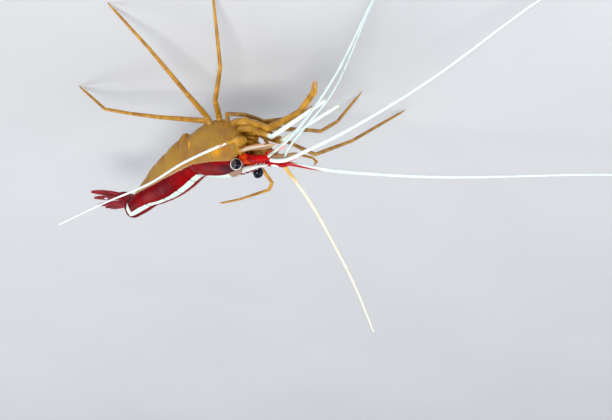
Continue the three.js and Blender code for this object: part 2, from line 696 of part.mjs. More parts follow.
// The origin is on the floor, under the middle of the whole animal with its feelers.
const extent = new THREE.Box3().setFromObject(shrimp);
const middle = extent.getCenter(new THREE.Vector3());
shrimp.position.set(-middle.x, -middle.y, 0);

export default shrimp;
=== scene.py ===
"""Cleaner shrimp, life size: the finish of its shell, limbs, feelers, eyes and tail fan.

Lengths in the classes are millimetres in the animal's own axes: x towards the head, y towards its
left side, z towards its back, from the point of the back where the head shield meets the abdomen.
Stance turns them into metres of the shared frame.
"""

import json
import logging
import math
from collections.abc import Mapping, Sequence
from dataclasses import dataclass, field
from enum import Enum
from typing import Any

import bpy
import numpy as np
from mathutils import Matrix, Vector

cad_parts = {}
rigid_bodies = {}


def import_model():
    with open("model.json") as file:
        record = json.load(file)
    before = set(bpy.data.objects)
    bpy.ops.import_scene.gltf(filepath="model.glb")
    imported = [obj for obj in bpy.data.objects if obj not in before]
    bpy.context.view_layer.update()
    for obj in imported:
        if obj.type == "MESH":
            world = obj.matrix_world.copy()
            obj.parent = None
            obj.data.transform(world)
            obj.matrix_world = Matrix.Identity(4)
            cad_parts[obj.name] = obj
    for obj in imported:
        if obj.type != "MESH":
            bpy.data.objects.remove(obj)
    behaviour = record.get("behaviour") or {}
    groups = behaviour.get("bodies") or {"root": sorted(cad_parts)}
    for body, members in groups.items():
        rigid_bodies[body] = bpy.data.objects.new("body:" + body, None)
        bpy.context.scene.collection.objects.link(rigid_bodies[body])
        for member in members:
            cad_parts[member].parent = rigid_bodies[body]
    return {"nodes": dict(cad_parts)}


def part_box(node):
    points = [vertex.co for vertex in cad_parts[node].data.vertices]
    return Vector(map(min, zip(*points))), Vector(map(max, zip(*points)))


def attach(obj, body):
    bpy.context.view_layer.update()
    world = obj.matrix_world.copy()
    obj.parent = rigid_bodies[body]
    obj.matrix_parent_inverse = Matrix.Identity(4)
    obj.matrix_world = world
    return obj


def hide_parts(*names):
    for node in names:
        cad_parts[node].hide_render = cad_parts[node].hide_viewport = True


log = logging.getLogger("cleaner_shrimp")

Array = np.ndarray
Point = tuple[float, float, float]
Colour = tuple[float, float, float]
Line = tuple[Point, ...]
Curve = tuple[tuple[float, float], ...]
Rows = tuple[tuple[float, ...], ...]
Trio = tuple[Array, Array, Array]
Skin = tuple[Array, dict[str, Array]]
Material = bpy.types.Material
Piece = bpy.types.Object

MM = 0.001
BODY = "root"
EYE_CENTRE: Point = (13.7, 2.8, 3.35)
EYE_RADIUS = 1.16


class Side(Enum):
    """The two sides of the animal."""

    LEFT = 1
    RIGHT = -1

    @property
    def label(self) -> str:
        """The side's name as the nodes write it."""
        return self.name.lower()


class Slot(Enum):
    """The record's material slots."""

    SHELL = "amber_shell"
    LIMB = "amber_limb"
    CRIMSON = "crimson_shell"
    FEELER = "white_feeler"
    CORNEA = "cornea"
    BLADE = "clear_blade"


# ----- numbers


def srgb(red: int, green: int, blue: int) -> Colour:
    """A screen colour as linear light.

    Args:
        red: Red, 0 to 255.
        green: Green, 0 to 255.
        blue: Blue, 0 to 255.

    Returns:
        The three linear values.
    """
    parts = [c / 255 for c in (red, green, blue)]
    return tuple(c / 12.92 if c <= 0.04045 else ((c + 0.055) / 1.055) ** 2.4 for c in parts)


def ease(value: Array, low: float, high: float) -> Array:
    """A smooth step from 0 at low to 1 at high."""
    share = np.clip((np.asarray(value, float) - low) / (high - low), 0.0, 1.0)
    return share * share * (3 - 2 * share)


def hump(value: Array, middle: float, width: float) -> Array:
    """A bell of height 1 round a middle value."""
    return np.exp(-(((np.asarray(value, float) - middle) / width) ** 2))


def unit(vectors: Array) -> Array:
    """Vectors at length one."""
    length = np.linalg.norm(vectors, axis=-1, keepdims=True)
    return vectors / np.maximum(length, 1e-12)


def reach_along(points: Array) -> Array:
    """Distance walked along a line of points, from 0 at the first."""
    steps = np.linalg.norm(np.diff(points, axis=0), axis=1)
    return np.concatenate([[0.0], np.cumsum(steps)])


def sample_rows(rows: Array, place: float) -> Array:
    """A smooth row between the evenly spaced rows of a table.

    Args:
        rows: The table.
        place: 0 at the first row, 1 at the last.

    Returns:
        The row at that place.
    """
    span = len(rows) - 1
    at = min(max(place, 0.0) * span, span - 1e-9)
    i = int(at)
    u = at - i
    before, start, end, after = rows[max(i - 1, 0)], rows[i], rows[i + 1], rows[min(i + 2, span)]
    m0 = (end - before) / (1 if i == 0 else 2)
    m1 = (after - start) / (1 if i + 2 > span else 2)
    u2, u3 = u * u, u**3
    return start * (2 * u3 - 3 * u2 + 1) + m0 * (u3 - 2 * u2 + u) + end * (3 * u2 - 2 * u3) + m1 * (u3 - u2)


def ripple(points: Array, pitch: float, seed: int) -> Array:
    """Smooth uneven swelling between -1 and 1 at points in space.

    Args:
        points: Places, in the animal's axes.
        pitch: Rough distance between swellings.
        seed: Which pattern.

    Returns:
        One value for each point.
    """
    draw = np.random.default_rng(seed)
    total = np.zeros(points.shape[:-1])
    for _ in range(7):
        wave = unit(draw.normal(size=3)) * (2 * math.pi / pitch) * draw.uniform(0.6, 1.6)
        total += np.sin(points @ wave + draw.uniform(0, 2 * math.pi))
    return total / 4.0


def smooth_line(points: Sequence[Point] | Array, spacing: float) -> Array:
    """A smooth line through points, with centripetal spacing of its bends.

    Args:
        points: The points it passes through.
        spacing: Distance between the points of the result.

    Returns:
        The line's points, evenly spaced.
    """
    p = np.asarray(points, float)
    p = np.vstack([2 * p[0] - p[1], p, 2 * p[-1] - p[-2]])
    pieces = []
    u = np.linspace(0, 1, 40, endpoint=False)[:, None]
    for a, b, c, d in zip(p[:-3], p[1:-2], p[2:-1], p[3:]):
        g0, g1, g2 = (max(float(np.linalg.norm(q - r)) ** 0.5, 1e-4) for q, r in ((b, a), (c, b), (d, c)))
        m0 = ((b - a) / g0 - (c - a) / (g0 + g1) + (c - b) / g1) * g1
        m1 = ((c - b) / g1 - (d - b) / (g1 + g2) + (d - c) / g2) * g1
        pieces.append(b + m0 * u + (-3 * b + 3 * c - 2 * m0 - m1) * u**2 + (2 * b - 2 * c + m0 + m1) * u**3)
    line = np.vstack([*pieces, p[-2]])
    reach = reach_along(line)
    count = max(int(round(reach[-1] / spacing)), 4) + 1
    wanted = np.linspace(0, reach[-1], count)
    return np.stack([np.interp(wanted, reach, line[:, k]) for k in range(3)], axis=1)


# ----- stance


@dataclass(frozen=True)
class Stance:
    """How the animal's own axes lie in the shared frame."""

    lean: float = math.radians(8.0)
    back_height: float = 20.0
    shift: Point = (0.0, 0.0, 0.0)

    @classmethod
    def read(cls) -> "Stance":
        """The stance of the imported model, found from its left eye."""
        low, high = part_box("eye_left")
        wanted = np.array((low + high) / 2) / MM
        return cls(shift=tuple(wanted - cls().stood(np.array(EYE_CENTRE))))

    def turned(self, vectors: Array) -> Array:
        """Directions turned into the shared frame."""
        v = np.asarray(vectors, float)
        cos, sin = math.cos(self.lean), math.sin(self.lean)
        x, y, z = v[..., 0], v[..., 1], v[..., 2]
        return np.stack([x, y * cos - z * sin, y * sin + z * cos], axis=-1)

    def stood(self, points: Array) -> Array:
        """Points in millimetres of the shared frame."""
        return self.turned(points) + np.array([0, 0, self.back_height]) + np.array(self.shift)

    def placed(self, points: Array) -> Array:
        """Points in metres of the shared frame."""
        return self.stood(points) * MM

    def footprint(self, x: float, y: float) -> Point:
        """The point of the floor under a place, in the animal's axes.

        Args:
            x: The place, towards the head.
            y: The place, towards the left side.

        Returns:
            The point on the floor.
        """
        cos, sin = math.cos(self.lean), math.sin(self.lean)
        depth = (self.back_height + y * sin) / cos
        flat_y = y * cos + depth * sin
        low = -self.back_height
        return (x, flat_y * cos + low * sin, -flat_y * sin + low * cos)


# ----- skins


MARKS = ("along", "around", "band", "stripe", "tone", "spot")


class Draft:
    """Closed skins gathered into one piece, with marks kept at every point for its finish."""

    def __init__(self) -> None:
        """Starts empty."""
        self.points: list[Array] = []
        self.marks: dict[str, list[Array]] = {name: [] for name in MARKS}
        self.faces: list[tuple[int, ...]] = []
        self.layers: list[int] = []
        self.count = 0

    def _add(
            self, points: Array, faces: list[tuple[int, ...]], layer: int,
            marks: Mapping[str, Array]) -> None:
        """Adds one closed skin, faces outwards.

        Args:
            points: Its points.
            faces: Its faces, by place in points.
            layer: Which of the piece's materials it wears.
            marks: Values at its points, by name.
        """
        volume = 0.0
        for face in faces:
            corner = points[face[0]]
            for b, c in zip(face[1:-1], face[2:]):
                volume += float(np.dot(corner, np.cross(points[b], points[c])))
        if volume < 0:
            faces = [face[::-1] for face in faces]
        self.faces += [tuple(i + self.count for i in face) for face in faces]
        self.layers += [layer] * len(faces)
        self.points.append(points)
        for name in MARKS:
            value = marks.get(name, 0.0)
            self.marks[name].append(np.broadcast_to(np.asarray(value, float), (len(points),)).copy())
        self.count += len(points)

    def loft(self, rings: Array, layer: int = 0, flat_ends: bool = False, **marks: Array | float) -> None:
        """Adds a closed skin through rings of points.

        Args:
            rings: Points as (ring, place round it, xyz).
            layer: Which of the piece's materials it wears.
            flat_ends: Fills each end with one flat face in place of a fan round its middle.
            marks: Values shaped as the rings without xyz, or one number for all.
        """
        count, sides = rings.shape[:2]
        body = rings.reshape(-1, 3)
        faces: list[tuple[int, ...]] = []
        for r in range(count - 1):
            for s in range(sides):
                n = (s + 1) % sides
                faces.append((r * sides + s, r * sides + n, (r + 1) * sides + n, (r + 1) * sides + s))
        last = (count - 1) * sides
        extra = []
        if flat_ends:
            faces += [tuple(range(sides - 1, -1, -1)), tuple(range(last, last + sides))]
        else:
            extra = [rings[0].mean(0), rings[-1].mean(0)]
            for s in range(sides):
                n = (s + 1) % sides
                faces += [(len(body), n, s), (len(body) + 1, last + s, last + n)]
        kept = {}
        for name, value in marks.items():
            grid = np.broadcast_to(np.asarray(value, float), (count, sides))
            ends = [] if flat_ends else [grid[0].mean(), grid[-1].mean()]
            kept[name] = np.concatenate([grid.ravel(), ends])
        self._add(np.vstack([body, *extra]) if extra else body, faces, layer, kept)

    def tube(self, path: Array, radii: Array, sides: int = 14, flat: float = 1.0, layer: int = 0,
             **marks: Array | float) -> None:
        """Adds a round skin along a path.

        Args:
            path: Its middle line.
            radii: Its radius at each point of the path.
            sides: Points round it.
            flat: Its thickness along z as a share of its width.
            layer: Which of the piece's materials it wears.
            marks: Values along the path, or one number for all.
        """
        rings, angle = tube_rings(path, radii, sides, flat)
        shape = rings.shape[:2]
        grids = {k: np.broadcast_to(np.asarray(v, float).reshape(-1, 1), shape) for k, v in marks.items()}
        grids.setdefault("around", np.broadcast_to(angle, shape))
        self.loft(rings, layer, **grids)

    def spine(
            self, root: Point | Array, tip: Point | Array, radius: float, bend: Point = (0, 0, 0),
            layer: int = 0, **marks: float) -> None:
        """Adds a pointed spine.

        Args:
            root: The middle of its foot.
            tip: Its point.
            radius: Its radius at the foot.
            bend: How far its middle stands off the straight line.
            layer: Which of the piece's materials it wears.
            marks: One number each for the whole spine.
        """
        u = np.linspace(0, 1, 9)[:, None]
        path = np.asarray(root) * (1 - u) + np.asarray(tip) * u + np.asarray(bend) * 4 * u * (1 - u)
        self.tube(path, radius * (1 - u[:, 0] ** 1.4) + 0.012, 8, layer=layer, **marks)

    def build(self, name: str, stance: Stance, finishes: Sequence[Material],
              crease: float = 50.0) -> Piece:
        """Makes the Blender object.

        Args:
            name: The piece's name.
            stance: Where the animal stands.
            finishes: Its materials, by layer.
            crease: Edges sharper than this many degrees stay sharp.

        Returns:
            The object, with its place in its mesh.
        """
        mesh = bpy.data.meshes.new(name)
        mesh.from_pydata(stance.placed(np.vstack(self.points)).tolist(), [], self.faces)
        mesh.polygons.foreach_set("use_smooth", [True] * len(mesh.polygons))
        mesh.polygons.foreach_set("material_index", self.layers)
        for mark, values in self.marks.items():
            made = mesh.attributes.new(mark, "FLOAT", "POINT")
            made.data.foreach_set("value", np.concatenate(values).astype(np.float32))
        mesh.set_sharp_from_angle(angle=math.radians(crease))
        for finish in finishes:
            mesh.materials.append(finish)
        made = bpy.data.objects.new(name, mesh)
        bpy.context.scene.collection.objects.link(made)
        return made


def tube_rings(path: Array, radii: Array, sides: int, flat: float = 1.0) -> tuple[Array, Array]:
    """Rings round a path, turned as little as they can be from one to the next.

    Args:
        path: The middle line.
        radii: The radius at each of its points.
        sides: Points round it.
        flat: Thickness across the second axis as a share of the first.

    Returns:
        The rings, and the share of a turn at each point of a ring.
    """
    tangents = unit(np.gradient(path, axis=0))
    normal = np.array([0.0, 1.0, 0.0]) if abs(tangents[0][1]) < 0.9 else np.array([0.0, 0.0, 1.0])
    turn = np.arange(sides) / sides
    rings = []
    for place, tangent, radius in zip(path, tangents, radii):
        normal = unit(normal - tangent * float(normal @ tangent))
        second = np.cross(tangent, normal)
        angle = (turn * 2 * math.pi)[:, None]
        rings.append(place + radius * (np.cos(angle) * normal + flat * np.sin(angle) * second))
    return np.array(rings), np.abs(2 * turn - 1)


def dress(piece: Piece, slot: Slot, *nodes: str) -> Piece:
    """Hands a finished piece to the frame.

    Args:
        piece: The piece.
        slot: The record's slot its finish stands for; not used.
        nodes: The nodes it replaces.

    Returns:
        The piece.
    """
    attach(piece, BODY)
    if nodes:
        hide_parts(*nodes)
    triangles = sum(len(p.vertices) - 2 for p in piece.data.polygons)
    log.info("%s: %d triangles, stands for %s", piece.name, triangles, ", ".join(nodes) or "no node")
    return piece


# ----- node trees


class Wiring:
    """Short calls that add nodes to a tree and join them."""

    def __init__(self, tree: bpy.types.NodeTree) -> None:
        """Keeps the tree to work on."""
        self.tree = tree

    @staticmethod
    def socket(sockets: Any, key: str | int) -> bpy.types.NodeSocket:
        """The socket of that name that is in use, or at that place."""
        if isinstance(key, int):
            return sockets[key]
        return next(s for s in sockets if s.name == key and s.enabled)

    def node(
            self, kind: str, inputs: Mapping[str | int, Any] | None = None,
            **settings: Any) -> bpy.types.Node:
        """Adds a node.

        Args:
            kind: The node's type.
            inputs: Values or other nodes' sockets for its inputs.
            settings: The node's own properties.

        Returns:
            The node.
        """
        made = self.tree.nodes.new(kind)
        for name, value in settings.items():
            setattr(made, name, value)
        for key, value in (inputs or {}).items():
            self.feed(self.socket(made.inputs, key), value)
        return made

    def feed(self, socket: bpy.types.NodeSocket, value: Any) -> None:
        """Links a socket to another one, or sets its value."""
        if isinstance(value, bpy.types.NodeSocket):
            self.tree.links.new(value, socket)
        elif socket.type == "RGBA" and len(value) == 3:
            socket.default_value = (*value, 1.0)
        else:
            socket.default_value = value

    def sum(
            self, operation: str, first: Any, second: Any = 0.0, third: Any = 0.0,
            clamp: bool = False) -> Any:
        """A sum of one to three values, such as MULTIPLY_ADD."""
        inputs = {0: first, 1: second, 2: third}
        return self.node("ShaderNodeMath", inputs, operation=operation, use_clamp=clamp).outputs[0]

    def times(self, first: Any, second: Any) -> Any:
        """The product of two values."""
        return self.sum("MULTIPLY", first, second)

    def scaled(self, value: Any, factor: Any, offset: Any) -> Any:
        """A value times a factor, plus an offset."""
        return self.sum("MULTIPLY_ADD", value, factor, offset)

    def vector(self, x: Any = 0.0, y: Any = 0.0, z: Any = 0.0) -> Any:
        """A vector from three values."""
        return self.node("ShaderNodeCombineXYZ", {"X": x, "Y": y, "Z": z}).outputs[0]


class Paint(Wiring):
    """A material being built: its tree, its shader and short calls for patterns."""

    def __init__(self, name: str, effects: "Effects | None" = None) -> None:
        """Makes an empty material with a shader and its output.

        Args:
            name: The material's name.
            effects: The shared groups that its patterns use.
        """
        self.effects = effects
        self.material = bpy.data.materials.new(name)
        self.material.use_nodes = True
        super().__init__(self.material.node_tree)
        self.tree.nodes.clear()
        self.shader = self.node("ShaderNodeBsdfPrincipled")
        output = self.node("ShaderNodeOutputMaterial")
        self.tree.links.new(self.shader.outputs[0], output.inputs[0])
        self.place = self.node("ShaderNodeTexCoord").outputs["Object"]

    def mark(self, name: str) -> Any:
        """A value kept at the points of the mesh."""
        return self.node("ShaderNodeAttribute", attribute_name=name).outputs["Fac"]

    def group(self, tree: bpy.types.NodeTree, **inputs: Any) -> bpy.types.Node:
        """Places a shared group, its inputs named with _ for spaces."""
        made = self.tree.nodes.new("ShaderNodeGroup")
        made.node_tree = tree
        for key, value in inputs.items():
            self.feed(made.inputs[key.replace("_", " ").capitalize()], value)
        return made

    def noise(self, pitch_mm: float, detail: float = 3.0, place: Any = None) -> Any:
        """Soft noise with blots about pitch_mm apart, from 0 to 1."""
        inputs = {"Vector": place or self.place, "Scale": 1 / (pitch_mm * MM), "Detail": detail}
        return self.node("ShaderNodeTexNoise", inputs).outputs[0]

    def step(self, value: Any, low: float, high: float, top: float = 1.0) -> Any:
        """A smooth step of a value from 0 at low to top at high."""
        inputs = {"Value": value, "From Min": low, "From Max": high, "To Min": 0.0, "To Max": top}
        return self.node("ShaderNodeMapRange", inputs, interpolation_type="SMOOTHSTEP").outputs[0]

    def mix(self, share: Any, first: Any, second: Any) -> Any:
        """A colour between two, by a share."""
        made = self.node("ShaderNodeMix", data_type="RGBA")
        self.feed(made.inputs[0], share)
        self.feed(made.inputs[6], first)
        self.feed(made.inputs[7], second)
        return made.outputs[2]

    def drift(self, first: Colour, second: Colour, pitch: float) -> Any:
        """A colour that drifts between two, with blots about a pitch apart."""
        return self.group(self.effects.drift, first=first, second=second, pitch=pitch).outputs[0]

    def speckle(self, base: Any, dot: Colour, strength: float, **dots: float) -> Any:
        """A colour with scattered dots over it; the dots' group says what pitch, size and share are."""
        mask = self.group(self.effects.dots, **dots).outputs[0]
        return self.mix(self.times(mask, strength), base, dot)

    def uneven(self, value: Any, pitch: float, amount: float) -> Any:
        """A value that noise moves up and down by at most half an amount."""
        return self.scaled(self.sum("SUBTRACT", self.noise(pitch), 0.5), amount, value)

    def shell(
            self, colour: Any, grain: tuple[float, float, float], rough: tuple[float, float],
            relief_mm: float, lift: Any = None, **fixed: Any) -> Material:
        """Wires the shader over the grain of a thin shell.

        Args:
            colour: The base colour.
            grain: Distance between pits, distance between swellings, and depth of the pits.
            rough: How far the roughness varies, and its lowest value.
            relief_mm: How deep the whole grain is.
            lift: A height added to the grain.
            fixed: Other inputs of the shader, as in surface.

        Returns:
            The finished material.
        """
        made = self.group(self.effects.grain, pit_pitch=grain[0], swell_pitch=grain[1], pit_depth=grain[2])
        height = made.outputs["Height"] if lift is None else self.sum("ADD", made.outputs["Height"], lift)
        roughness = self.scaled(made.outputs["Unevenness"], *rough)
        return self.surface(colour, roughness, height, relief_mm, **fixed)

    def surface(self, colour: Any, roughness: Any, height: Any = None, relief_mm: float = 0.03,
                **fixed: Any) -> Material:
        """Wires the shader.

        Args:
            colour: The base colour.
            roughness: The roughness.
            height: A height pattern, 0 to 1, for the bump.
            relief_mm: How deep that height is.
            fixed: Other inputs of the shader, set as plain values, named with _ for spaces.

        Returns:
            The finished material.
        """
        self.feed(self.shader.inputs["Base Color"], colour)
        self.feed(self.shader.inputs["Roughness"], roughness)
        if height is not None:
            inputs = {"Height": height, "Strength": 1.0, "Distance": relief_mm * MM}
            bump = self.node("ShaderNodeBump", inputs)
            self.feed(self.shader.inputs["Normal"], bump.outputs[0])
        names = {socket.name.lower(): socket for socket in self.shader.inputs}
        for key, value in fixed.items():
            names[key.replace("_", " ").lower()].default_value = value
        return self.material


class Effects:
    """The shader groups that several finishes share, each built once."""

    def __init__(self) -> None:
        """Builds the groups."""
        self.grain = self._grain()
        self.dots = self._dots()
        self.drift = self._drift()

    @staticmethod
    def _open(name: str, inputs: Mapping[str, Any],
              outputs: Mapping[str, str]) -> tuple[Wiring, Any, Any, Any]:
        """Starts a group with named sockets.

        Args:
            name: The group's name.
            inputs: Its inputs' default values, by name.
            outputs: Its outputs' kinds, by name.

        Returns:
            The wiring of its tree, its inputs, its output node and the place on the piece.
        """
        tree = bpy.data.node_groups.new(name, "ShaderNodeTree")
        for key, value in inputs.items():
            kind = "NodeSocketFloat" if isinstance(value, float) else "NodeSocketColor"
            made = tree.interface.new_socket(key, in_out="INPUT", socket_type=kind)
            made.default_value = value if isinstance(value, float) else (*value, 1.0)
        for key, kind in outputs.items():
            tree.interface.new_socket(key, in_out="OUTPUT", socket_type=kind)
        w = Wiring(tree)
        place = w.node("ShaderNodeTexCoord").outputs["Object"]
        return w, w.node("NodeGroupInput").outputs, w.node("NodeGroupOutput"), place

    def _grain(self) -> bpy.types.NodeTree:
        """Fine pits and soft swellings of a thin shell, as a height and an unevenness."""
        inputs = {"Pit pitch": 0.12, "Swell pitch": 0.9, "Pit depth": 0.4}
        outputs = {"Height": "NodeSocketFloat", "Unevenness": "NodeSocketFloat"}
        w, given, out, place = self._open("shell grain", inputs, outputs)
        fine = w.sum("DIVIDE", 1 / MM, given["Pit pitch"])
        wide = w.sum("DIVIDE", 1 / MM, given["Swell pitch"])
        pits = w.node("ShaderNodeTexVoronoi", {"Vector": place, "Scale": fine}).outputs["Distance"]
        swell = w.node("ShaderNodeTexNoise", {"Vector": place, "Scale": wide, "Detail": 2.0}).outputs[0]
        pit = w.times(w.sum("SMOOTH_MIN", pits, 0.45, 0.2), given["Pit depth"])
        w.feed(out.inputs["Height"], w.sum("ADD", pit, w.times(swell, 0.8)))
        w.feed(out.inputs["Unevenness"], swell)
        return w.tree

    def _dots(self) -> bpy.types.NodeTree:
        """Scattered pigment dots, as a mask."""
        inputs = {"Pitch": 0.4, "Size": 0.3, "Share": 0.5}
        w, given, out, place = self._open("pigment dots", inputs, {"Mask": "NodeSocketFloat"})
        scale = w.sum("DIVIDE", 1 / MM, given["Pitch"])
        cells = w.node("ShaderNodeTexVoronoi", {"Vector": place, "Scale": scale})
        draw = w.node("ShaderNodeSeparateColor", {0: cells.outputs["Color"]})
        size = w.times(given["Size"], w.scaled(draw.outputs[0], 0.7, 0.3))
        near = w.sum("SUBTRACT", size, cells.outputs["Distance"])
        dot = w.sum("MULTIPLY", near, 14.0, clamp=True)
        kept = w.sum("LESS_THAN", draw.outputs[1], given["Share"])
        w.feed(out.inputs["Mask"], w.times(dot, kept))
        return w.tree

    def _drift(self) -> bpy.types.NodeTree:
        """A colour that drifts between two over the surface."""
        inputs = {"First": (1, 1, 1), "Second": (0, 0, 0), "Pitch": 2.0}
        w, given, out, place = self._open("colour drift", inputs, {"Colour": "NodeSocketColor"})
        scale = w.sum("DIVIDE", 1 / MM, given["Pitch"])
        noise = w.node("ShaderNodeTexNoise", {"Vector": place, "Scale": scale, "Detail": 4.0}).outputs[0]
        share = w.node("ShaderNodeMapRange", {"Value": noise, "From Min": 0.32, "From Max": 0.68},
                       interpolation_type="SMOOTHSTEP").outputs[0]
        made = w.node("ShaderNodeMix", data_type="RGBA")
        w.feed(made.inputs[0], share)
        w.feed(made.inputs[6], given["First"])
        w.feed(made.inputs[7], given["Second"])
        w.feed(out.inputs["Colour"], made.outputs[2])
        return w.tree


# ----- finishes


@dataclass(frozen=True)
class ShellFinish:
    """Amber shell with a crimson back and a white stripe, read from the band and stripe marks."""

    amber: Colour = srgb(174, 134, 58)
    tan: Colour = srgb(156, 112, 60)
    ochre: Colour = srgb(196, 132, 22)
    crimson: Colour = srgb(98, 0, 10)
    scarlet: Colour = srgb(138, 0, 4)
    maroon: Colour = srgb(40, 0, 20)
    white: Colour = srgb(206, 226, 216)
    pale_edge: Colour = srgb(176, 160, 136)
    patch: Colour = srgb(150, 122, 106)
    fleck: Colour = srgb(92, 52, 56)
    dot: Colour = srgb(176, 84, 20)
    gold: Colour = srgb(250, 168, 6)

    def make(self, effects: Effects) -> Material:
        """Builds the material."""
        p = Paint("amber_crimson_shell", effects)
        band, stripe, tone, along = (p.mark(name) for name in ("band", "stripe", "tone", "along"))
        wobble = p.sum("SUBTRACT", p.noise(0.9, 3.0), 0.5)
        fine = p.sum("SUBTRACT", p.noise(0.22, 2.0), 0.5)
        amber = p.drift(self.amber, self.tan, 3.2)
        low = p.step(p.noise(2.4, 2.0), 0.52, 0.72, 0.55)
        amber = p.mix(p.times(low, p.step(along, -1.0, 4.0)), amber, self.ochre)
        amber = p.speckle(amber, self.dot, 0.35, pitch=0.34, size=0.26, share=0.4)
        bent = p.scaled(wobble, 0.5, along)
        gills = p.times(p.step(p.sum("PINGPONG", bent, 0.55), 0.32, 0.5), p.step(along, 0.8, 2.0))
        amber = p.mix(p.times(gills, 0.3), amber, self.tan)
        golden = p.scaled(fine, 0.3, p.mark("spot"))
        amber = p.mix(p.step(golden, 0.2, 0.7), amber, self.gold)
        red = p.drift(self.crimson, self.scarlet, 5.5)
        red = p.mix(p.step(p.noise(0.5, 4.0), 0.55, 0.8, 0.5), red, self.crimson)
        ahead = p.times(p.step(along, 6.5, 10.0), p.step(band, 0.2, 1.2))
        red = p.mix(p.times(ahead, 0.85), red, self.maroon)
        edge = p.scaled(fine, 0.16, p.scaled(wobble, 0.35, band))
        behind = p.sum("SUBTRACT", 1.0, p.step(along, -3.0, 2.0, 0.75))
        skin = p.mix(p.times(p.step(edge, -0.36, -0.2, 0.55), behind), amber, self.pale_edge)
        skin = p.mix(p.step(edge, -0.09, 0.07), skin, red)
        line = p.scaled(fine, 0.22, stripe)
        chalk = p.mix(p.step(p.noise(0.5), 0.5, 0.75, 0.3), self.white, self.pale_edge)
        clear = p.speckle(self.patch, self.fleck, 0.85, pitch=0.36, size=0.34, share=0.6)
        chalk = p.mix(p.step(p.scaled(wobble, 0.8, along), 9.0, 9.8), chalk, clear)
        skin = p.mix(p.step(line, -0.06, 0.05), skin, chalk)
        hem = p.mix(p.step(edge, -0.1, 0.1), self.tan, self.maroon)
        skin = p.mix(p.step(tone, 0.2, 0.9, 0.35), skin, hem)
        return p.shell(skin, (0.16, 1.1, 0.3), (0.22, 0.3), 0.02, coat_weight=0.03, coat_roughness=0.14,
                       specular_ior_level=0.06, subsurface_weight=0.15, subsurface_radius=(1.0, 0.45, 0.2),
                       subsurface_scale=0.7 * MM)


@dataclass(frozen=True)
class LimbFinish:
    """Clear amber limb that drifts between amber and brown, warmer at its joints."""

    name: str = "amber_limb"
    amber: Colour = srgb(190, 142, 46)
    brown: Colour = srgb(152, 106, 30)
    joint: Colour = srgb(196, 144, 48)
    dot: Colour = srgb(176, 70, 12)
    tip: Colour = srgb(232, 246, 240)

    def make(self, effects: Effects) -> Material:
        """Builds the material; the stripe mark turns the limb to its tip colour."""
        p = Paint(self.name, effects)
        base = p.drift(self.amber, self.brown, 1.6)
        base = p.mix(p.step(p.mark("tone"), 0.1, 0.9, 0.7), base, self.joint)
        base = p.speckle(base, self.dot, 0.4, pitch=0.22, size=0.3, share=0.45)
        base = p.mix(p.step(p.uneven(p.mark("stripe"), 0.5, 0.5), 0.25, 0.75), base, self.tip)
        return p.shell(base, (0.1, 0.6, 0.3), (0.2, 0.26), 0.015, coat_weight=0.1, coat_roughness=0.18,
                       specular_ior_level=0.25, subsurface_weight=0.22, subsurface_radius=(1.0, 0.5, 0.2),
                       subsurface_scale=0.5 * MM)


@dataclass(frozen=True)
class FeelerFinish:
    """White ringed whip; its root and the back of its first stretch take colours of their own."""

    name: str = "white_feeler"
    white: Colour = srgb(230, 244, 240)
    shade: Colour = srgb(168, 192, 196)
    root: Colour = srgb(214, 230, 226)
    root_length: float = 1.0
    back: Colour = srgb(214, 230, 228)
    back_length: float = 1.0
    back_edge: float = -0.2
    ring_pitch: float = 0.5

    def make(self, effects: Effects) -> Material:
        """Builds the material."""
        p = Paint(self.name, effects)
        along = p.mark("along")
        ring = p.sum("PINGPONG", along, self.ring_pitch / 2)
        groove = p.step(ring, 0.0, self.ring_pitch * 0.16)
        colour = p.mix(p.step(p.noise(1.4), 0.45, 0.75, 0.35), self.white, self.shade)
        colour = p.mix(p.scaled(groove, -0.45, 0.45), colour, self.shade)
        reach = p.uneven(along, 0.6, self.root_length)
        colour = p.mix(p.step(reach, self.root_length * 0.5, self.root_length * 1.5), self.root, colour)
        behind = p.scaled(along, -0.9 / self.back_length, p.mark("upward"))
        colour = p.mix(p.step(behind, self.back_edge, self.back_edge + 0.3), colour, self.back)
        return p.shell(colour, (0.1, 0.5, 0.2), (0.2, 0.32), 0.01, coat_weight=0.15, coat_roughness=0.25,
                       subsurface_weight=0.15, subsurface_radius=(0.8, 0.8, 0.9), subsurface_scale=0.3 * MM)


@dataclass(frozen=True)
class CrimsonFinish:
    """Bright red shell that turns orange at its root, with the stripe mark in white."""

    name: str = "crimson_stalk"
    red: Colour = srgb(184, 0, 6)
    deep: Colour = srgb(128, 0, 10)
    orange: Colour = srgb(206, 62, 2)
    white: Colour = srgb(214, 232, 236)
    dot: Colour = srgb(240, 60, 20)

    def make(self, effects: Effects) -> Material:
        """Builds the material; tone is 1 where it is orange."""
        p = Paint(self.name, effects)
        base = p.drift(self.red, self.deep, 2.4)
        base = p.speckle(base, self.dot, 0.4, pitch=0.25, size=0.3, share=0.3)
        base = p.mix(p.step(p.uneven(p.mark("tone"), 0.6, 0.7), 0.3, 0.8), base, self.orange)
        base = p.mix(p.step(p.uneven(p.mark("stripe"), 0.4, 0.6), 0.35, 0.62), base, self.white)
        return p.shell(base, (0.12, 2.0, 0.35), (0.2, 0.3), 0.01, coat_weight=0.04, coat_roughness=0.12,
                       specular_ior_level=0.06, subsurface_weight=0.1, subsurface_radius=(1.0, 0.3, 0.2),
                       subsurface_scale=0.5 * MM)


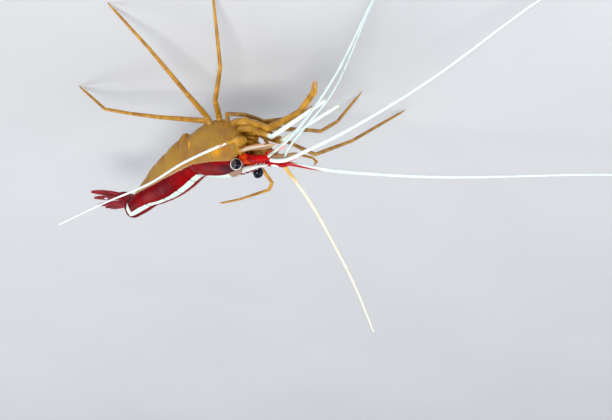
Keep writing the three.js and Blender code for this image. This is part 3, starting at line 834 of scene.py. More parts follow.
@dataclass(frozen=True)
class EyeFinish:
    """Black faceted cornea inside a mottled grey-white ring; along is the angle from its middle."""

    black: Colour = srgb(8, 6, 22)
    navy: Colour = srgb(20, 16, 50)
    grey: Colour = srgb(176, 168, 160)
    pale: Colour = srgb(232, 228, 220)
    mottle: Colour = srgb(112, 98, 88)
    rim: float = 60.0

    def make(self, effects: Effects) -> Material:
        """Builds the material."""
        p = Paint("cornea", effects)
        edge = p.uneven(p.mark("along"), 0.35, 14.0)
        dark = p.mix(p.step(p.noise(0.5), 0.45, 0.7), self.black, self.navy)
        clouds = p.step(p.noise(0.42, 4.0), 0.42, 0.66)
        dark = p.mix(p.times(clouds, p.step(p.mark("tone"), 0.2, 0.8, 0.85)), dark, self.mottle)
        ring = p.drift(self.pale, self.grey, 0.4)
        ring = p.speckle(ring, self.mottle, 0.5, pitch=0.2, size=0.3, share=0.22)
        colour = p.mix(p.step(edge, self.rim - 3.0, self.rim + 3.0), dark, ring)
        cells = p.node("ShaderNodeTexVoronoi", {"Vector": p.place, "Scale": 1 / (0.07 * MM)})
        rough = p.sum("ADD", p.step(edge, self.rim, self.rim + 20.0, 0.3), 0.09)
        return p.surface(
            colour, rough, cells.outputs["Distance"], 0.008, coat_weight=0.14, coat_roughness=0.08,
            specular_ior_level=0.15)


@dataclass(frozen=True)
class BladeFinish:
    """Thin clear amber blade with brown-red margins and a white line along its outer edge, partly its own colour and
    partly a painted highlight.
    """

    name: str = "clear_blade"
    clear: Colour = srgb(214, 184, 128)
    margin: Colour = srgb(186, 100, 58)
    white: Colour = srgb(226, 240, 232)
    alpha: float = 0.82

    def make(self, effects: Effects) -> Material:
        """Builds the material; stripe marks the white line, partly a painted highlight, and tone the margins."""
        p = Paint(self.name, effects)
        base = p.mix(0.75, p.drift(self.clear, self.margin, 2.4), self.clear)
        veins = p.step(p.sum("PINGPONG", p.mark("around"), 0.09), 0.02, 0.06)
        base = p.mix(p.scaled(veins, -0.25, 0.25), base, self.margin)
        fine = p.sum("SUBTRACT", p.noise(0.3), 0.5)
        base = p.mix(p.step(p.scaled(fine, 0.3, p.mark("tone")), 0.55, 0.9), base, self.margin)
        # the white line along the outer edge is partly the blade's own colour and partly a painted highlight
        base = p.mix(p.step(p.scaled(fine, 0.5, p.mark("stripe")), 0.35, 0.65), base, self.white)
        return p.shell(base, (0.14, 0.8, 0.2), (0.2, 0.2), 0.02, veins, alpha=self.alpha, coat_weight=0.3,
                       coat_roughness=0.15, subsurface_weight=0.15, subsurface_radius=(1.0, 0.6, 0.3),
                       subsurface_scale=0.3 * MM)


@dataclass(frozen=True)
class HairFinish:
    """Fine bristle that pales towards its point."""

    name: str
    root: Colour
    tip: Colour

    def make(self, effects: Effects) -> Material:
        """Builds the material."""
        p = Paint(self.name, effects)
        rough = p.scaled(p.noise(0.3), 0.2, 0.35)
        return p.surface(p.drift(self.root, self.tip, 0.8), rough, p.noise(0.1), 0.004, coat_weight=0.1)


class Wardrobe:
    """Every material of the model, built once."""

    def __init__(self) -> None:
        """Builds the shared groups and the materials."""
        effects = Effects()
        self.shell = ShellFinish().make(effects)
        self.limb = LimbFinish().make(effects)
        self.tan_limb = LimbFinish("tan_limb", amber=srgb(170, 128, 60), brown=srgb(136, 96, 42),
                                   joint=srgb(190, 144, 62)).make(effects)
        self.feeler = FeelerFinish().make(effects)
        self.grey_feeler = FeelerFinish("grey_feeler", white=srgb(208, 224, 222), shade=srgb(148, 170, 174),
                                        root=srgb(170, 178, 160), root_length=2.0).make(effects)
        self.near_antenna = FeelerFinish(
            "near_antenna", root=srgb(206, 128, 40), root_length=1.4).make(effects)
        self.cream_feeler = FeelerFinish("cream_feeler", white=srgb(238, 234, 214), shade=srgb(206, 186, 130),
                                         root=srgb(214, 176, 84), root_length=4.0, back=srgb(158, 112, 52),
                                         back_length=120.0, back_edge=0.72).make(effects)
        self.red_backed_feeler = FeelerFinish("red_backed_feeler", root=srgb(176, 6, 16), root_length=1.6,
                                              back=srgb(176, 8, 20), back_length=7.0).make(effects)
        self.red_branch = FeelerFinish("red_branch", white=srgb(238, 158, 140), shade=srgb(206, 84, 74),
                                       root=srgb(190, 6, 10), root_length=2.6, back=srgb(190, 6, 10),
                                       back_length=3.0).make(effects)
        self.crimson = CrimsonFinish().make(effects)
        self.tail = CrimsonFinish("tail_plate", red=srgb(138, 2, 20), deep=srgb(84, 0, 20),
                                  orange=srgb(120, 16, 30), white=srgb(196, 210, 238),
                                  dot=srgb(196, 30, 34)).make(effects)
        self.beak = CrimsonFinish("beak", red=srgb(222, 232, 228), deep=srgb(206, 212, 208),
                                  orange=srgb(112, 10, 26), white=srgb(240, 250, 246),
                                  dot=srgb(214, 150, 150)).make(effects)
        self.eyestalk = CrimsonFinish("eyestalk", red=srgb(198, 186, 182), deep=srgb(150, 60, 64),
                                      orange=srgb(150, 20, 34), dot=srgb(90, 40, 50)).make(effects)
        self.eye = EyeFinish().make(effects)
        self.blade = BladeFinish().make(effects)
        self.paddle = BladeFinish(
            "paddle", clear=srgb(184, 140, 84), margin=srgb(150, 84, 44), alpha=0.9).make(effects)
        self.pale_hair = HairFinish("pale_hair", srgb(206, 190, 160), srgb(238, 238, 226)).make(effects)
        self.amber_hair = HairFinish("amber_hair", srgb(206, 120, 24), srgb(232, 176, 74)).make(effects)
        self.red_hair = HairFinish("red_hair", srgb(130, 8, 24), srgb(206, 96, 96)).make(effects)


# ----- repeated things


class NodeTool:
    """A geometry node tree with named inputs, and the run that turns a carrier mesh into a plain piece."""

    def __init__(self, name: str, inputs: Mapping[str, tuple[str, Any]]) -> None:
        """Opens the tree.

        Args:
            name: The tree's name.
            inputs: Each input's kind and usual value, by name.
        """
        tree = bpy.data.node_groups.new(name, "GeometryNodeTree")
        tree.interface.new_socket("Geometry", in_out="INPUT", socket_type="NodeSocketGeometry")
        self.keys: dict[str, str] = {}
        for key, (kind, value) in inputs.items():
            socket = tree.interface.new_socket(key, in_out="INPUT", socket_type=kind)
            if value is not None:
                socket.default_value = value
            self.keys[key] = socket.identifier
        tree.interface.new_socket("Geometry", in_out="OUTPUT", socket_type="NodeSocketGeometry")
        self.tree = tree
        self.wire = Wiring(tree)
        self.given = self.wire.node("NodeGroupInput").outputs

    def keep(self, geometry: Any, name: str, value: Any) -> Any:
        """The geometry with a value kept at each of its points."""
        inputs = {"Geometry": geometry, "Name": name, "Value": value}
        return self.wire.node(
            "GeometryNodeStoreNamedAttribute", inputs, data_type="FLOAT", domain="POINT").outputs[0]

    def close(self, geometry: Any) -> None:
        """Ends the tree: real geometry, dressed in the Material input."""
        real = self.wire.node("GeometryNodeRealizeInstances", {0: geometry})
        dressed = self.wire.node("GeometryNodeSetMaterial", {"Geometry": real.outputs[0],
                                                             "Material": self.given["Material"]})
        self.wire.node("NodeGroupOutput", {0: dressed.outputs[0]})

    def run(self, name: str, carrier: bpy.types.Mesh, **values: Any) -> Piece:
        """Turns a carrier mesh into a finished plain mesh.

        Args:
            name: The piece's name.
            carrier: The mesh that the tree reads.
            values: The tree's inputs, named with _ for spaces.

        Returns:
            The piece, with no modifier left.
        """
        piece = bpy.data.objects.new(name, carrier)
        bpy.context.scene.collection.objects.link(piece)
        modifier = piece.modifiers.new(self.tree.name, "NODES")
        modifier.node_group = self.tree
        for key, value in values.items():
            modifier[self.keys[key.replace("_", " ").capitalize()]] = value
        bpy.context.view_layer.update()
        graph = bpy.context.evaluated_depsgraph_get()
        mesh = bpy.data.meshes.new_from_object(piece.evaluated_get(graph), preserve_all_data_layers=True,
                                               depsgraph=graph)
        piece.modifiers.clear()
        piece.data = mesh
        mesh.name = name
        mesh.polygons.foreach_set("use_smooth", [True] * len(mesh.polygons))
        return piece


class WhipTool(NodeTool):
    """Makes a ringed whip along a line of edges."""

    def __init__(self) -> None:
        """Builds the tree."""
        number = "NodeSocketFloat"
        super().__init__("ringed_whip", {
            "Root radius": (number, 0.4 * MM), "Tip radius": (number, 0.15 * MM), "Ring pitch": (number, 0.5 * MM),
            "Ring relief": (number, 0.08), "Sides": ("NodeSocketInt", 10), "Top": ("NodeSocketVector", (0, 0, 1)),
            "Material": ("NodeSocketMaterial", None)})
        w, given = self.wire, self.given
        line = w.node("GeometryNodeMeshToCurve", {0: given["Geometry"]}).outputs[0]
        step = w.sum("DIVIDE", given["Ring pitch"], 4.0)
        even = w.node("GeometryNodeResampleCurve", {"Curve": line, "Length": step}, mode="LENGTH")
        spline = w.node("GeometryNodeSplineParameter").outputs
        taper = w.sum("POWER", spline["Factor"], 0.8)
        slope = w.sum("SUBTRACT", given["Tip radius"], given["Root radius"])
        plain = w.scaled(taper, slope, given["Root radius"])
        turn = w.times(w.sum("DIVIDE", spline["Length"], given["Ring pitch"]), 2 * math.pi)
        swell = w.scaled(w.sum("COSINE", turn), w.times(given["Ring relief"], -1.0), 1.0)
        point = w.sum("MULTIPLY", w.sum("SUBTRACT", 1.0, spline["Factor"]), 60.0, clamp=True)
        radius = w.times(w.times(plain, swell), w.sum("SQRT", point))
        wide = w.node("GeometryNodeSetCurveRadius", {"Curve": even.outputs[0], "Radius": radius}).outputs[0]
        kept = self.keep(wide, "along", w.sum("DIVIDE", spline["Length"], MM))
        ring = w.node(
            "GeometryNodeCurvePrimitiveCircle", {"Resolution": given["Sides"], "Radius": 1.0}).outputs[0]
        skin = w.node("GeometryNodeCurveToMesh", {"Curve": kept, "Profile Curve": ring, "Fill Caps": True})
        if "Scale" in skin.inputs:
            w.feed(skin.inputs["Scale"], w.node("GeometryNodeInputRadius").outputs[0])
        normal = w.node("GeometryNodeInputNormal").outputs[0]
        facing = w.node("ShaderNodeVectorMath", {0: normal, 1: given["Top"]}, operation="DOT_PRODUCT")
        self.close(self.keep(skin.outputs[0], "upward", facing.outputs["Value"]))

    def whip(self, name: str, line: Array, stance: Stance, root_radius: float, tip_radius: float,
             material: Material, ring_pitch: float = 0.5, ring_relief: float = 0.07) -> Piece:
        """Makes one whip.

        Args:
            name: The piece's name.
            line: Its middle line, in the animal's axes.
            stance: Where the animal stands.
            root_radius: Radius at its root.
            tip_radius: Radius at its tip.
            material: What it wears.
            ring_pitch: Distance from ring to ring.
            ring_relief: How far a ring stands out, as a share of the radius.

        Returns:
            The piece.
        """
        carrier = bpy.data.meshes.new(name + "_line")
        carrier.from_pydata(stance.placed(line).tolist(), [(i, i + 1) for i in range(len(line) - 1)], [])
        return self.run(name, carrier, root_radius=root_radius * MM, tip_radius=tip_radius * MM,
                        ring_pitch=ring_pitch * MM, ring_relief=ring_relief, sides=12,
                        top=stance.turned(np.array([0.0, 0.0, 1.0])).tolist(), material=material)


class BristleTool(NodeTool):
    """Plants curved bristles on points that keep a lean and a reach."""

    def __init__(self) -> None:
        """Builds the tree."""
        number = "NodeSocketFloat"
        super().__init__("bristles", {
            "Thickness": (number, 0.03 * MM), "Bend": (number, 0.2), "Unevenness": (number, 0.25),
            "Seed": ("NodeSocketInt", 1), "Material": ("NodeSocketMaterial", None)})
        w, given = self.wire, self.given
        hair = w.node(
            "GeometryNodeMeshCone", {"Vertices": 4, "Side Segments": 3, "Radius Top": 0.12,
            "Radius Bottom": 1.0, "Depth": 1.0}, fill_type="NGON").outputs[0]
        height = w.node(
            "ShaderNodeSeparateXYZ", {0: w.node("GeometryNodeInputPosition").outputs[0]}).outputs["Z"]
        lean = w.node(
            "GeometryNodeInputNamedAttribute", {"Name": "lean"}, data_type="FLOAT_VECTOR").outputs[0]
        reach = w.node("GeometryNodeInputNamedAttribute", {"Name": "reach"}, data_type="FLOAT").outputs[0]
        sway = w.times(w.times(height, height), given["Bend"])
        stretch = w.vector(sway, 0.0, 0.0)
        bent = w.node("GeometryNodeSetPosition", {"Geometry": hair, "Offset": stretch}).outputs[0]
        shortest = w.sum("SUBTRACT", 1.0, given["Unevenness"])
        share = self.random("FLOAT", shortest, 1.0)
        jitter = self.random("FLOAT_VECTOR", (-0.16, -0.16, -0.16), (0.16, 0.16, 0.16))
        aim = w.node("ShaderNodeVectorMath", {0: lean, 1: jitter}, operation="ADD").outputs[0]
        turned = w.node("FunctionNodeAlignRotationToVector", {"Vector": aim}, axis="Z").outputs[0]
        long = w.times(reach, share)
        size = w.vector(given["Thickness"], given["Thickness"], long)
        points = w.node("GeometryNodeMeshToPoints", {"Mesh": given["Geometry"]}).outputs[0]
        planted = w.node(
            "GeometryNodeInstanceOnPoints", {"Points": points, "Instance": bent, "Rotation": turned,
            "Scale": size}).outputs[0]
        self.close(planted)

    def random(self, kind: str, low: Any, high: Any) -> Any:
        """A value for each bristle between two, drawn by the seed."""
        inputs = {"Min": low, "Max": high, "Seed": self.given["Seed"]}
        made = self.wire.node("FunctionNodeRandomValue", inputs, data_type=kind)
        return self.wire.socket(made.outputs, "Value")

    def plant(self, name: str, roots: Array, leans: Array, reaches: Array, stance: Stance,
              material: Material, thickness: float = 0.03, bend: float = 6.0, seed: int = 1) -> Piece:
        """Plants bristles.

        Args:
            name: The piece's name.
            roots: Where each bristle grows, in the animal's axes.
            leans: Which way each points.
            reaches: How long each is.
            stance: Where the animal stands.
            material: What they wear.
            thickness: Radius at the root.
            bend: How far a bristle's point sways off, in root radii.
            seed: Which pattern of uneven lengths.

        Returns:
            The piece.
        """
        carrier = bpy.data.meshes.new(name + "_roots")
        carrier.from_pydata(stance.placed(roots).tolist(), [], [])
        lean = carrier.attributes.new("lean", "FLOAT_VECTOR", "POINT")
        lean.data.foreach_set("vector", stance.turned(unit(leans)).astype(np.float32).ravel())
        reach = carrier.attributes.new("reach", "FLOAT", "POINT")
        reach.data.foreach_set("value", (np.asarray(reaches) * MM).astype(np.float32))
        return self.run(name, carrier, thickness=thickness * MM, bend=bend, unevenness=0.35, seed=seed,
                        material=material)


@dataclass
class Bench:
    """What every part of the animal is built with."""

    stance: Stance
    wardrobe: Wardrobe
    whips: WhipTool
    bristles: BristleTool


# ----- markings


@dataclass(frozen=True)
class Markings:
    """The crimson band and white stripe along the back, by distance along it from the shield's hind edge.

    Band and stripe give half-widths, and middle says how far to the left the stripe's middle lies. The
    hook is a white line that climbs the left side of the last plate and leans back as it climbs.
    """

    band: Curve = (
        (-26.5, 7.0), (-23.4, 6.2), (-22.3, 5.6), (-21.0, 4.9), (-19.5, 4.5), (-18.0, 4.25), (-16.1, 4.05),
        (-13.0, 4.3), (-10.9, 4.36), (-8.2, 4.4), (-6.9, 4.2), (-5.2, 4.0), (-3.8, 3.7), (-2.3, 3.28),
        (-1.2, 3.15), (0.0, 2.75), (0.15, 3.13), (1.5, 3.66), (2.8, 3.96), (4.1, 4.12), (5.6, 4.23),
        (7.0, 4.28), (8.4, 4.13), (9.9, 3.86), (11.2, 3.54), (12.0, 3.4), (14.0, 3.0))
    stripe: Curve = (
        (-22.3, -0.4), (-21.9, 0.3), (-21.3, 0.55), (-18.6, 0.62), (-15.8, 0.58), (-12.7, 0.52), (-9.9, 0.6),
        (-8.0, 0.76), (-3.0, 0.8), (-0.2, 0.76), (0.5, 0.66), (0.9, 0.14), (1.3, 0.16), (2.4, 0.6),
        (3.4, 0.88), (5.6, 0.9), (7.6, 0.94), (8.8, 1.0), (10.2, 1.2), (11.3, 1.2), (12.2, 1.1), (14.0, 1.0))
    middle: Curve = ((-22.0, 0.25), (-18.5, 0.4), (-10.0, -0.12), (-0.5, -0.24), (1.0, 0.0))
    hook_start: float = -21.45
    hook_foot: float = 0.3
    hook_height: float = 2.5
    hook_lean: float = 1.2
    hook_half_width: float = 0.42

    def mark(self, marks: dict[str, Array]) -> None:
        """Adds the band and the stripe to the marks of a skin.

        Args:
            marks: Its marks, with its distances along the back and round to the left from the middle of it.
        """
        along, left = marks["along"], marks["left"]
        places, widths = zip(*self.band)
        marks["band"] = np.interp(along, places, widths) - np.abs(left)
        places, widths = zip(*self.stripe)
        straight = np.interp(along, places, widths) - np.abs(left - np.interp(along, *zip(*self.middle)))
        climb = np.linspace(0, 1, 9)
        back = self.hook_start - self.hook_lean * climb**3
        hook = np.stack([back, self.hook_foot + self.hook_height * climb], axis=1)
        nearest = np.full(along.shape, np.inf)
        here = np.stack([along, left], axis=-1)
        for start, end in zip(hook[:-1], hook[1:]):
            way = end - start
            share = np.clip((here - start) @ way / float(way @ way), 0, 1)
            nearest = np.minimum(nearest, np.linalg.norm(here - start - share[..., None] * way, axis=-1))
        marks["stripe"] = np.maximum(straight, self.hook_half_width - nearest)


# ----- head shield


@dataclass(frozen=True)
class HeadShield:
    """The shield over head and thorax, with its beak.

    Each row of sections is back x, back z, belly x, belly z and half-width.
    """

    sections: Rows = (
        (0.15, 0.55, -1.3, -8.5, 3.8), (2.2, 1.65, 1.5, -9.1, 4.15), (4.3, 2.4, 4.3, -9.4, 4.3),
        (6.6, 3.1, 7.0, -9.2, 4.3), (8.8, 3.6, 9.6, -8.4, 4.0), (11.0, 3.85, 12.0, -7.0, 3.5),
        (12.3, 3.8, 13.4, -5.4, 2.9), (13.0, 3.1, 14.3, -3.6, 2.3))
    rings: int = 120
    sides: int = 152
    beak_root: tuple[float, float] = (9.0, 2.7)
    beak_tip: tuple[float, float] = (19.8, 4.5)
    beak_depth: float = 1.5
    beak_crest: float = 0.42
    beak_half_width: float = 0.42
    teeth: tuple[float, ...] = (9.6, 11.0, 12.4, 13.7, 15.0, 16.4, 17.8)
    lower_teeth: tuple[float, ...] = (16.2, 17.4, 18.4)
    markings: Markings = field(default_factory=Markings)

    def skin(self) -> Skin:
        """Rings of the shield from its hind edge to its face, with its marks."""
        rows = np.array(self.sections)
        phi = 2 * math.pi * np.arange(self.sides) / self.sides
        a = (1 - np.cos(phi)) / 2
        bulge = np.sqrt(np.maximum(1 - np.abs(2 * a - 1) ** 2.2, 0)) * (1 + 0.12 * (a - 0.5))
        places = np.linspace(0, 1, self.rings)
        rings, arcs = [], []
        for t in places:
            back_x, back_z, belly_x, belly_z, half = sample_rows(rows, t)
            ring = np.stack([back_x + (belly_x - back_x) * a, np.sign(np.sin(phi)) * bulge * half,
                             back_z + (belly_z - back_z) * a], axis=1)
            rings.append(ring)
            walk = reach_along(np.vstack([ring, ring[:1]]))
            arcs.append(np.minimum(walk[:-1], walk[-1] - walk[:-1]))
        skin, around = np.array(rings), np.array(arcs)
        outward = unit(np.cross(np.gradient(skin, axis=0), np.roll(skin, -1, 1) - np.roll(skin, 1, 1)))
        middle = skin.mean(axis=1, keepdims=True)
        outward *= np.sign(np.sum(outward * (skin - middle), axis=2, keepdims=True))
        along = np.broadcast_to(skin[:, :1, 0], around.shape)
        t, share = places[:, None], np.broadcast_to(a, around.shape)
        lift = 0.2 * ease(along, 5.5, 11.5) * hump(around, 0.0, 0.6)
        lift = lift - 0.035 * hump(around - 1.1 * (11.6 - along), 1.2, 0.5) * ease(along, 7.0, 8.5)
        lift = lift + 0.10 * ease(t, 0.035, 0.0) + 0.09 * hump(t, 0.985, 0.012)
        lift = lift - 0.05 * hump(t, 0.06, 0.014) - 0.06 * hump(t, 0.955, 0.014)
        lift = lift - 0.55 * ease(share, 0.955, 0.995) + 0.10 * hump(share, 0.93, 0.016)
        lift = lift + 0.045 * ripple(skin, 4.5, 3)
        skin = skin + outward * lift[..., None]
        front = ease(t, 0.86, 1.0)
        push = -0.75 * hump(share, 0.10, 0.075) + 0.95 * hump(share, 0.255, 0.028)
        skin[..., 0] += front**2 * (push + 0.5 * hump(share, 0.83, 0.04))
        x, y, z = np.moveaxis(skin, -1, 0)
        fleck = hump(x - 0.14 * (z + 4.65), 0.85, 0.26) * hump(z, -4.65, 0.95)
        blotch = 0.45 * hump(x, 9.1, 2.3) * hump(z, -0.5, 1.4)
        marks = {"around": around, "left": around * np.where(phi < math.pi, 1, -1), "along": along,
                 "spot": (fleck + blotch) * (np.abs(y) > 2.0),
                 "tone": np.maximum(ease(t, 0.03, 0.0), ease(t, 0.975, 1.0)) + 0 * around}
        return self._with_face(skin, marks)

    def _with_face(self, skin: Array, marks: dict[str, Array]) -> Skin:
        """Adds the hind hem and turns the front edge in over the face.

        Args:
            skin: The shield's rings.
            marks: Its marks.

        Returns:
            The longer skin and its marks.
        """
        hem, rim = skin[0], skin[-1]
        hem_folds = ((0.93, -0.2), (0.985, -0.46), (1.006, -0.42))
        face_folds = (
            (0.972, 0.03), (0.945, -0.12), (0.925, -0.5), (0.85, -0.62), (0.6, -0.3), (0.3, 0.1), (0.1, 0.2))
        hind = [hem.mean(0) + (hem - hem.mean(0)) * size + [push, 0, 0] for size, push in hem_folds]
        face = [rim.mean(0) + (rim - rim.mean(0)) * size + [push, 0, 0] for size, push in face_folds]
        full = np.array([*hind, *skin, *face])
        kept = {}
        for name, grid in marks.items():
            first, last = grid[:1], grid[-1:]
            kept[name] = np.vstack([first, first, first, grid, *[last] * len(face)])
        return full, kept

    def beak(self, draft: Draft) -> None:
        """Adds the beak and its teeth to the shield."""
        steps, sides = 60, 24
        t = np.linspace(0, 1, steps)
        x = self.beak_root[0] + (self.beak_tip[0] - self.beak_root[0]) * t
        z = self.beak_root[1] + (self.beak_tip[1] - self.beak_root[1]) * t - 0.14 * np.sin(math.pi * t)
        tip = np.sqrt(np.clip((1 - t) * 9, 0, 1))
        crest = self.beak_crest * np.sin(math.pi * np.minimum(t / 0.75, 1))
        depth = self.beak_depth / 2 * (1 - 0.72 * t) * tip
        width = self.beak_half_width * (1 - 0.5 * t) * tip
        angle = 2 * math.pi * np.arange(sides) / sides
        ridge = 1 + 0.35 * hump(np.abs(np.sin(angle)), 1.0, 0.25)
        rings = np.stack([np.broadcast_to(x[:, None], (steps, sides)),
                          width[:, None] * np.sin(angle) * ridge * 0.82,
                          z[:, None] + depth[:, None] * np.cos(angle)
                          + crest[:, None] * np.maximum(np.cos(angle), 0.0)], axis=-1)
        worn = ease(np.cos(angle), 0.72, 0.98) * ease(x, 12.8, 13.4)[:, None] * ease(x, 16.8, 15.6)[:, None]
        draft.loft(rings, 1, along=np.broadcast_to(x[:, None], (steps, sides)), tone=0.7 * worn)
        for place in self.teeth:
            u = (place - self.beak_root[0]) / (self.beak_tip[0] - self.beak_root[0])
            top = np.interp(u, t, z + depth + crest)
            reach = 0.95 * (1 - 0.45 * u)
            point = (place + reach, 0, top + 0.3 * (1 - 0.5 * u))
            draft.spine((place - 0.15, 0, top - 0.22), point, 0.2 * (1 - 0.4 * u), (0, 0, 0.1), layer=1,
                        tone=1.0 if 12.0 < place < 16.2 else 0.45)
        for place in self.lower_teeth:
            u = (place - self.beak_root[0]) / (self.beak_tip[0] - self.beak_root[0])
            low = np.interp(u, t, z - depth)
            draft.spine(
                (place - 0.1, 0, low + 0.12), (place + 0.5, 0, low - 0.16), 0.11, (0, 0, -0.05), layer=1,
                tone=0.2)

    def build(self, bench: Bench) -> None:
        """Builds the shield, its beak and the hairs between the teeth."""
        skin, marks = self.skin()
        self.markings.mark(marks)
        draft = Draft()
        draft.loft(skin, **marks)
        self.beak(draft)
        w = bench.wardrobe
        dress(draft.build("head_shield", bench.stance, [w.shell, w.beak]), Slot.SHELL, "carapace")
        draw = np.random.default_rng(5)
        x = np.linspace(11.2, 17.6, 90)
        u = (x - self.beak_root[0]) / (self.beak_tip[0] - self.beak_root[0])
        top = self.beak_root[1] + 1.8 * u + self.beak_depth / 2 * (1 - 0.72 * u) - 0.16
        top = top + self.beak_crest * np.sin(math.pi * np.minimum(u / 0.75, 1))
        roots = np.stack([x, draw.uniform(-0.08, 0.08, len(x)), top], axis=1)
        leans = np.stack(
            [np.full(len(x), 0.8), draw.uniform(-0.3, 0.3, len(x)), np.full(len(x), 0.6)], axis=1)
        hair = bench.bristles.plant(
            "beak_hairs", roots, leans, np.full(len(x), 0.55), bench.stance, w.red_hair, 0.03, 3.0, 11)
        dress(hair, Slot.SHELL)


# ----- abdomen


@dataclass(frozen=True)
class Abdomen:
    """Six overlapping plates.

    Each row of joints is back x, back z, belly x, belly z, half-width and the degrees by which the back
    turns to the left.
    """

    joints: Rows = (
        (0.0, 0.0, -1.5, -8.5, 3.8, 0), (-2.2, 0.7, -3.2, -8.0, 3.95, 0), (-6.5, 2.1, -7.2, -6.8, 3.9, 0),
        (-10.7, 2.6, -10.8, -5.2, 3.5, 0), (-15.7, 2.4, -14.2, -3.0, 2.9, 0),
        (-22.0, 3.4, -18.9, -0.2, 2.2, 12), (-24.2, -0.2, -22.0, -1.6, 1.6, 40))
    rings: int = 54
    tuck: float = 0.45
    overlap: float = 0.42
    crown: float = 0.14
    lobe: float = 0.3
    short_flaps: float = 0.95
    markings: Markings = field(default_factory=Markings)

    def outline(self, is_last: bool) -> Array:
        """One half of a section, from the middle of the back round to the middle of the belly."""
        theta = np.linspace(0, math.pi / 2, 30)
        arch = np.stack([np.sin(theta) ** 0.9, (1 - np.cos(theta)) * 0.55], axis=1)
        if is_last:
            knots = [
                (1.0, 0.55), (0.985, 0.7), (0.93, 0.84), (0.8, 0.95), (0.55, 1.0), (0.25, 1.02), (0.0, 1.02)]
        else:
            knots = [
                (1.0, 0.55), (0.99, 0.7), (0.965, 0.82), (0.91, 0.93), (0.8, 1.0), (0.7, 0.985),
                (0.64, 0.93), (0.62, 0.84), (0.58, 0.75), (0.46, 0.69), (0.22, 0.665), (0.0, 0.66)]
        flank = smooth_line([(*knot, 0.0) for knot in knots], 0.045)[:, :2]
        return np.vstack([arch[:-1], flank])

    def frame(self, station: float) -> tuple[Array, Array, float, float, float, float]:
        """The size and place of one section.

        Args:
            station: Where it is, counted in plates from the shield's hind edge.

        Returns:
            Its middle of the back, way down, depth, half-width, turn and distance along the back.
        """
        rows = np.array(self.joints)
        steps = np.concatenate([[0], np.cumsum(np.linalg.norm(np.diff(rows[:, :2], axis=0), axis=1))])

        def plain(s: float) -> Array:
            """A row straight between two joints, with the distance along the back."""
            i = int(np.clip(math.floor(s), 0, len(rows) - 2))
            u = s - i
            return np.append(rows[i] * (1 - u) + rows[i + 1] * u, steps[i] * (1 - u) + steps[i + 1] * u)

        row = 0.25 * plain(station - 0.07) + 0.5 * plain(station) + 0.25 * plain(station + 0.07)
        down = row[2:4] - row[:2]
        depth = float(np.linalg.norm(down))
        return row[:2], down / depth, depth, float(row[4]), math.radians(row[5]), -float(row[6])

    def plate(self, number: int) -> Skin:
        """Rings of one plate with its marks.

        Args:
            number: 1 for the first behind the shield.

        Returns:
            The rings and the marks.
        """
        is_last = number == len(self.joints) - 1
        half = self.outline(is_last)
        loop = np.vstack([half, (half * [-1, 1])[-2:0:-1]])
        start, end = self.joints[number - 1], self.joints[number]
        length = math.dist(start[:2], end[:2])
        before, after = self.tuck / length, (0.0 if is_last else self.overlap / length)
        local = np.concatenate([np.linspace(-before, 0.12, 12, endpoint=False),
                                np.linspace(0.12, 0.86, self.rings - 26), np.linspace(0.88, 1 + after, 14)])
        down_share = loop[:, 1]
        flap = (down_share > 0.6) & (np.abs(loop[:, 0]) > 0.6)
        low_flap = ease(down_share, 0.5, 0.75)
        rings, around, along, tone = [], [], [], []
        for u in local:
            own = float(np.clip(u, 0, 1))
            swell = math.sin(math.pi * own)
            corner = 1 - 0.16 * ease(down_share, 0.72, 1.0) * abs(2 * own - 1) ** 3
            points = np.empty((len(loop), 3))
            station = number - 1 + u
            _, down, depth, width, turn, reach = self.frame(station)
            lobe = 0 if is_last else self.lobe * (swell - 0.5)
            hem = depth + lobe - self.short_flaps * hump(station, 1.9, 1.4)
            grow = -0.30 * ease(u, 0.14, -before * 0.6) + 0.08 * ease(u, 0.86, 1.0)
            if number == 2:
                grow = grow * (1 - low_flap) + low_flap * 0.1
            if number in (1, 3):
                hidden = ease(u, 0.8, 1.0) if number == 1 else ease(u, 0.2, 0.0)
                grow = grow - low_flap * 0.22 * hidden
            across = loop[:, 0] * (width + self.crown * swell)
            drop = down_share * hem - self.crown * swell
            scale_side = 1 + np.where(flap | (down_share < 0.99), grow, 0) / width
            drop = drop - grow * (1 - ease(down_share, 0.0, 0.45))
            slide = (u - 0.5) * corner + 0.5
            stations, places = np.unique(np.round(slide, 3), return_inverse=True)
            own_back = np.array([self.frame(number - 1 + s)[0] for s in stations])[places]
            side, low = across * scale_side, drop - depth / 2
            side, low = (side * math.cos(turn) - low * math.sin(turn),
                         low * math.cos(turn) + side * math.sin(turn) + depth / 2)
            points[:, 0] = own_back[:, 0] + down[0] * low
            points[:, 1] = side
            points[:, 2] = own_back[:, 1] + down[1] * low
            rings.append(points)
            walk = reach_along(points[: len(half)])
            around.append(np.concatenate([walk, -walk[-2:0:-1]]))
            along.append(np.full(len(loop), reach))
            tone.append(np.full(len(loop), float(ease(u, 0.97, 1 + after))))
        skin = np.array(rings)
        marks = {"left": np.array(around), "along": np.array(along), "tone": np.array(tone)}
        outward = unit(skin - skin.mean(axis=1, keepdims=True))
        skin = skin + 0.02 * ripple(skin, 2.5, 20 + number)[..., None] * outward
        middle = skin[-1].mean(0)
        lip = middle + (skin[-1] - middle) * 0.95
        skin = np.vstack([skin, lip[None]])
        marks = {name: np.vstack([grid, grid[-1:]]) for name, grid in marks.items()}
        return skin, marks

    def build(self, bench: Bench) -> None:
        """Builds the plates and the hairs along their hems."""
        for number in range(1, len(self.joints)):
            skin, marks = self.plate(number)
            self.markings.mark(marks)
            marks["stripe"] = marks["stripe"] - 0.12 * marks["tone"]
            draft = Draft()
            draft.loft(skin, flat_ends=True, **marks)
            dress(draft.build(f"plate_{number}", bench.stance, [bench.wardrobe.shell]), Slot.SHELL,
                  f"pleonite_{number}")
        self._hems(bench)

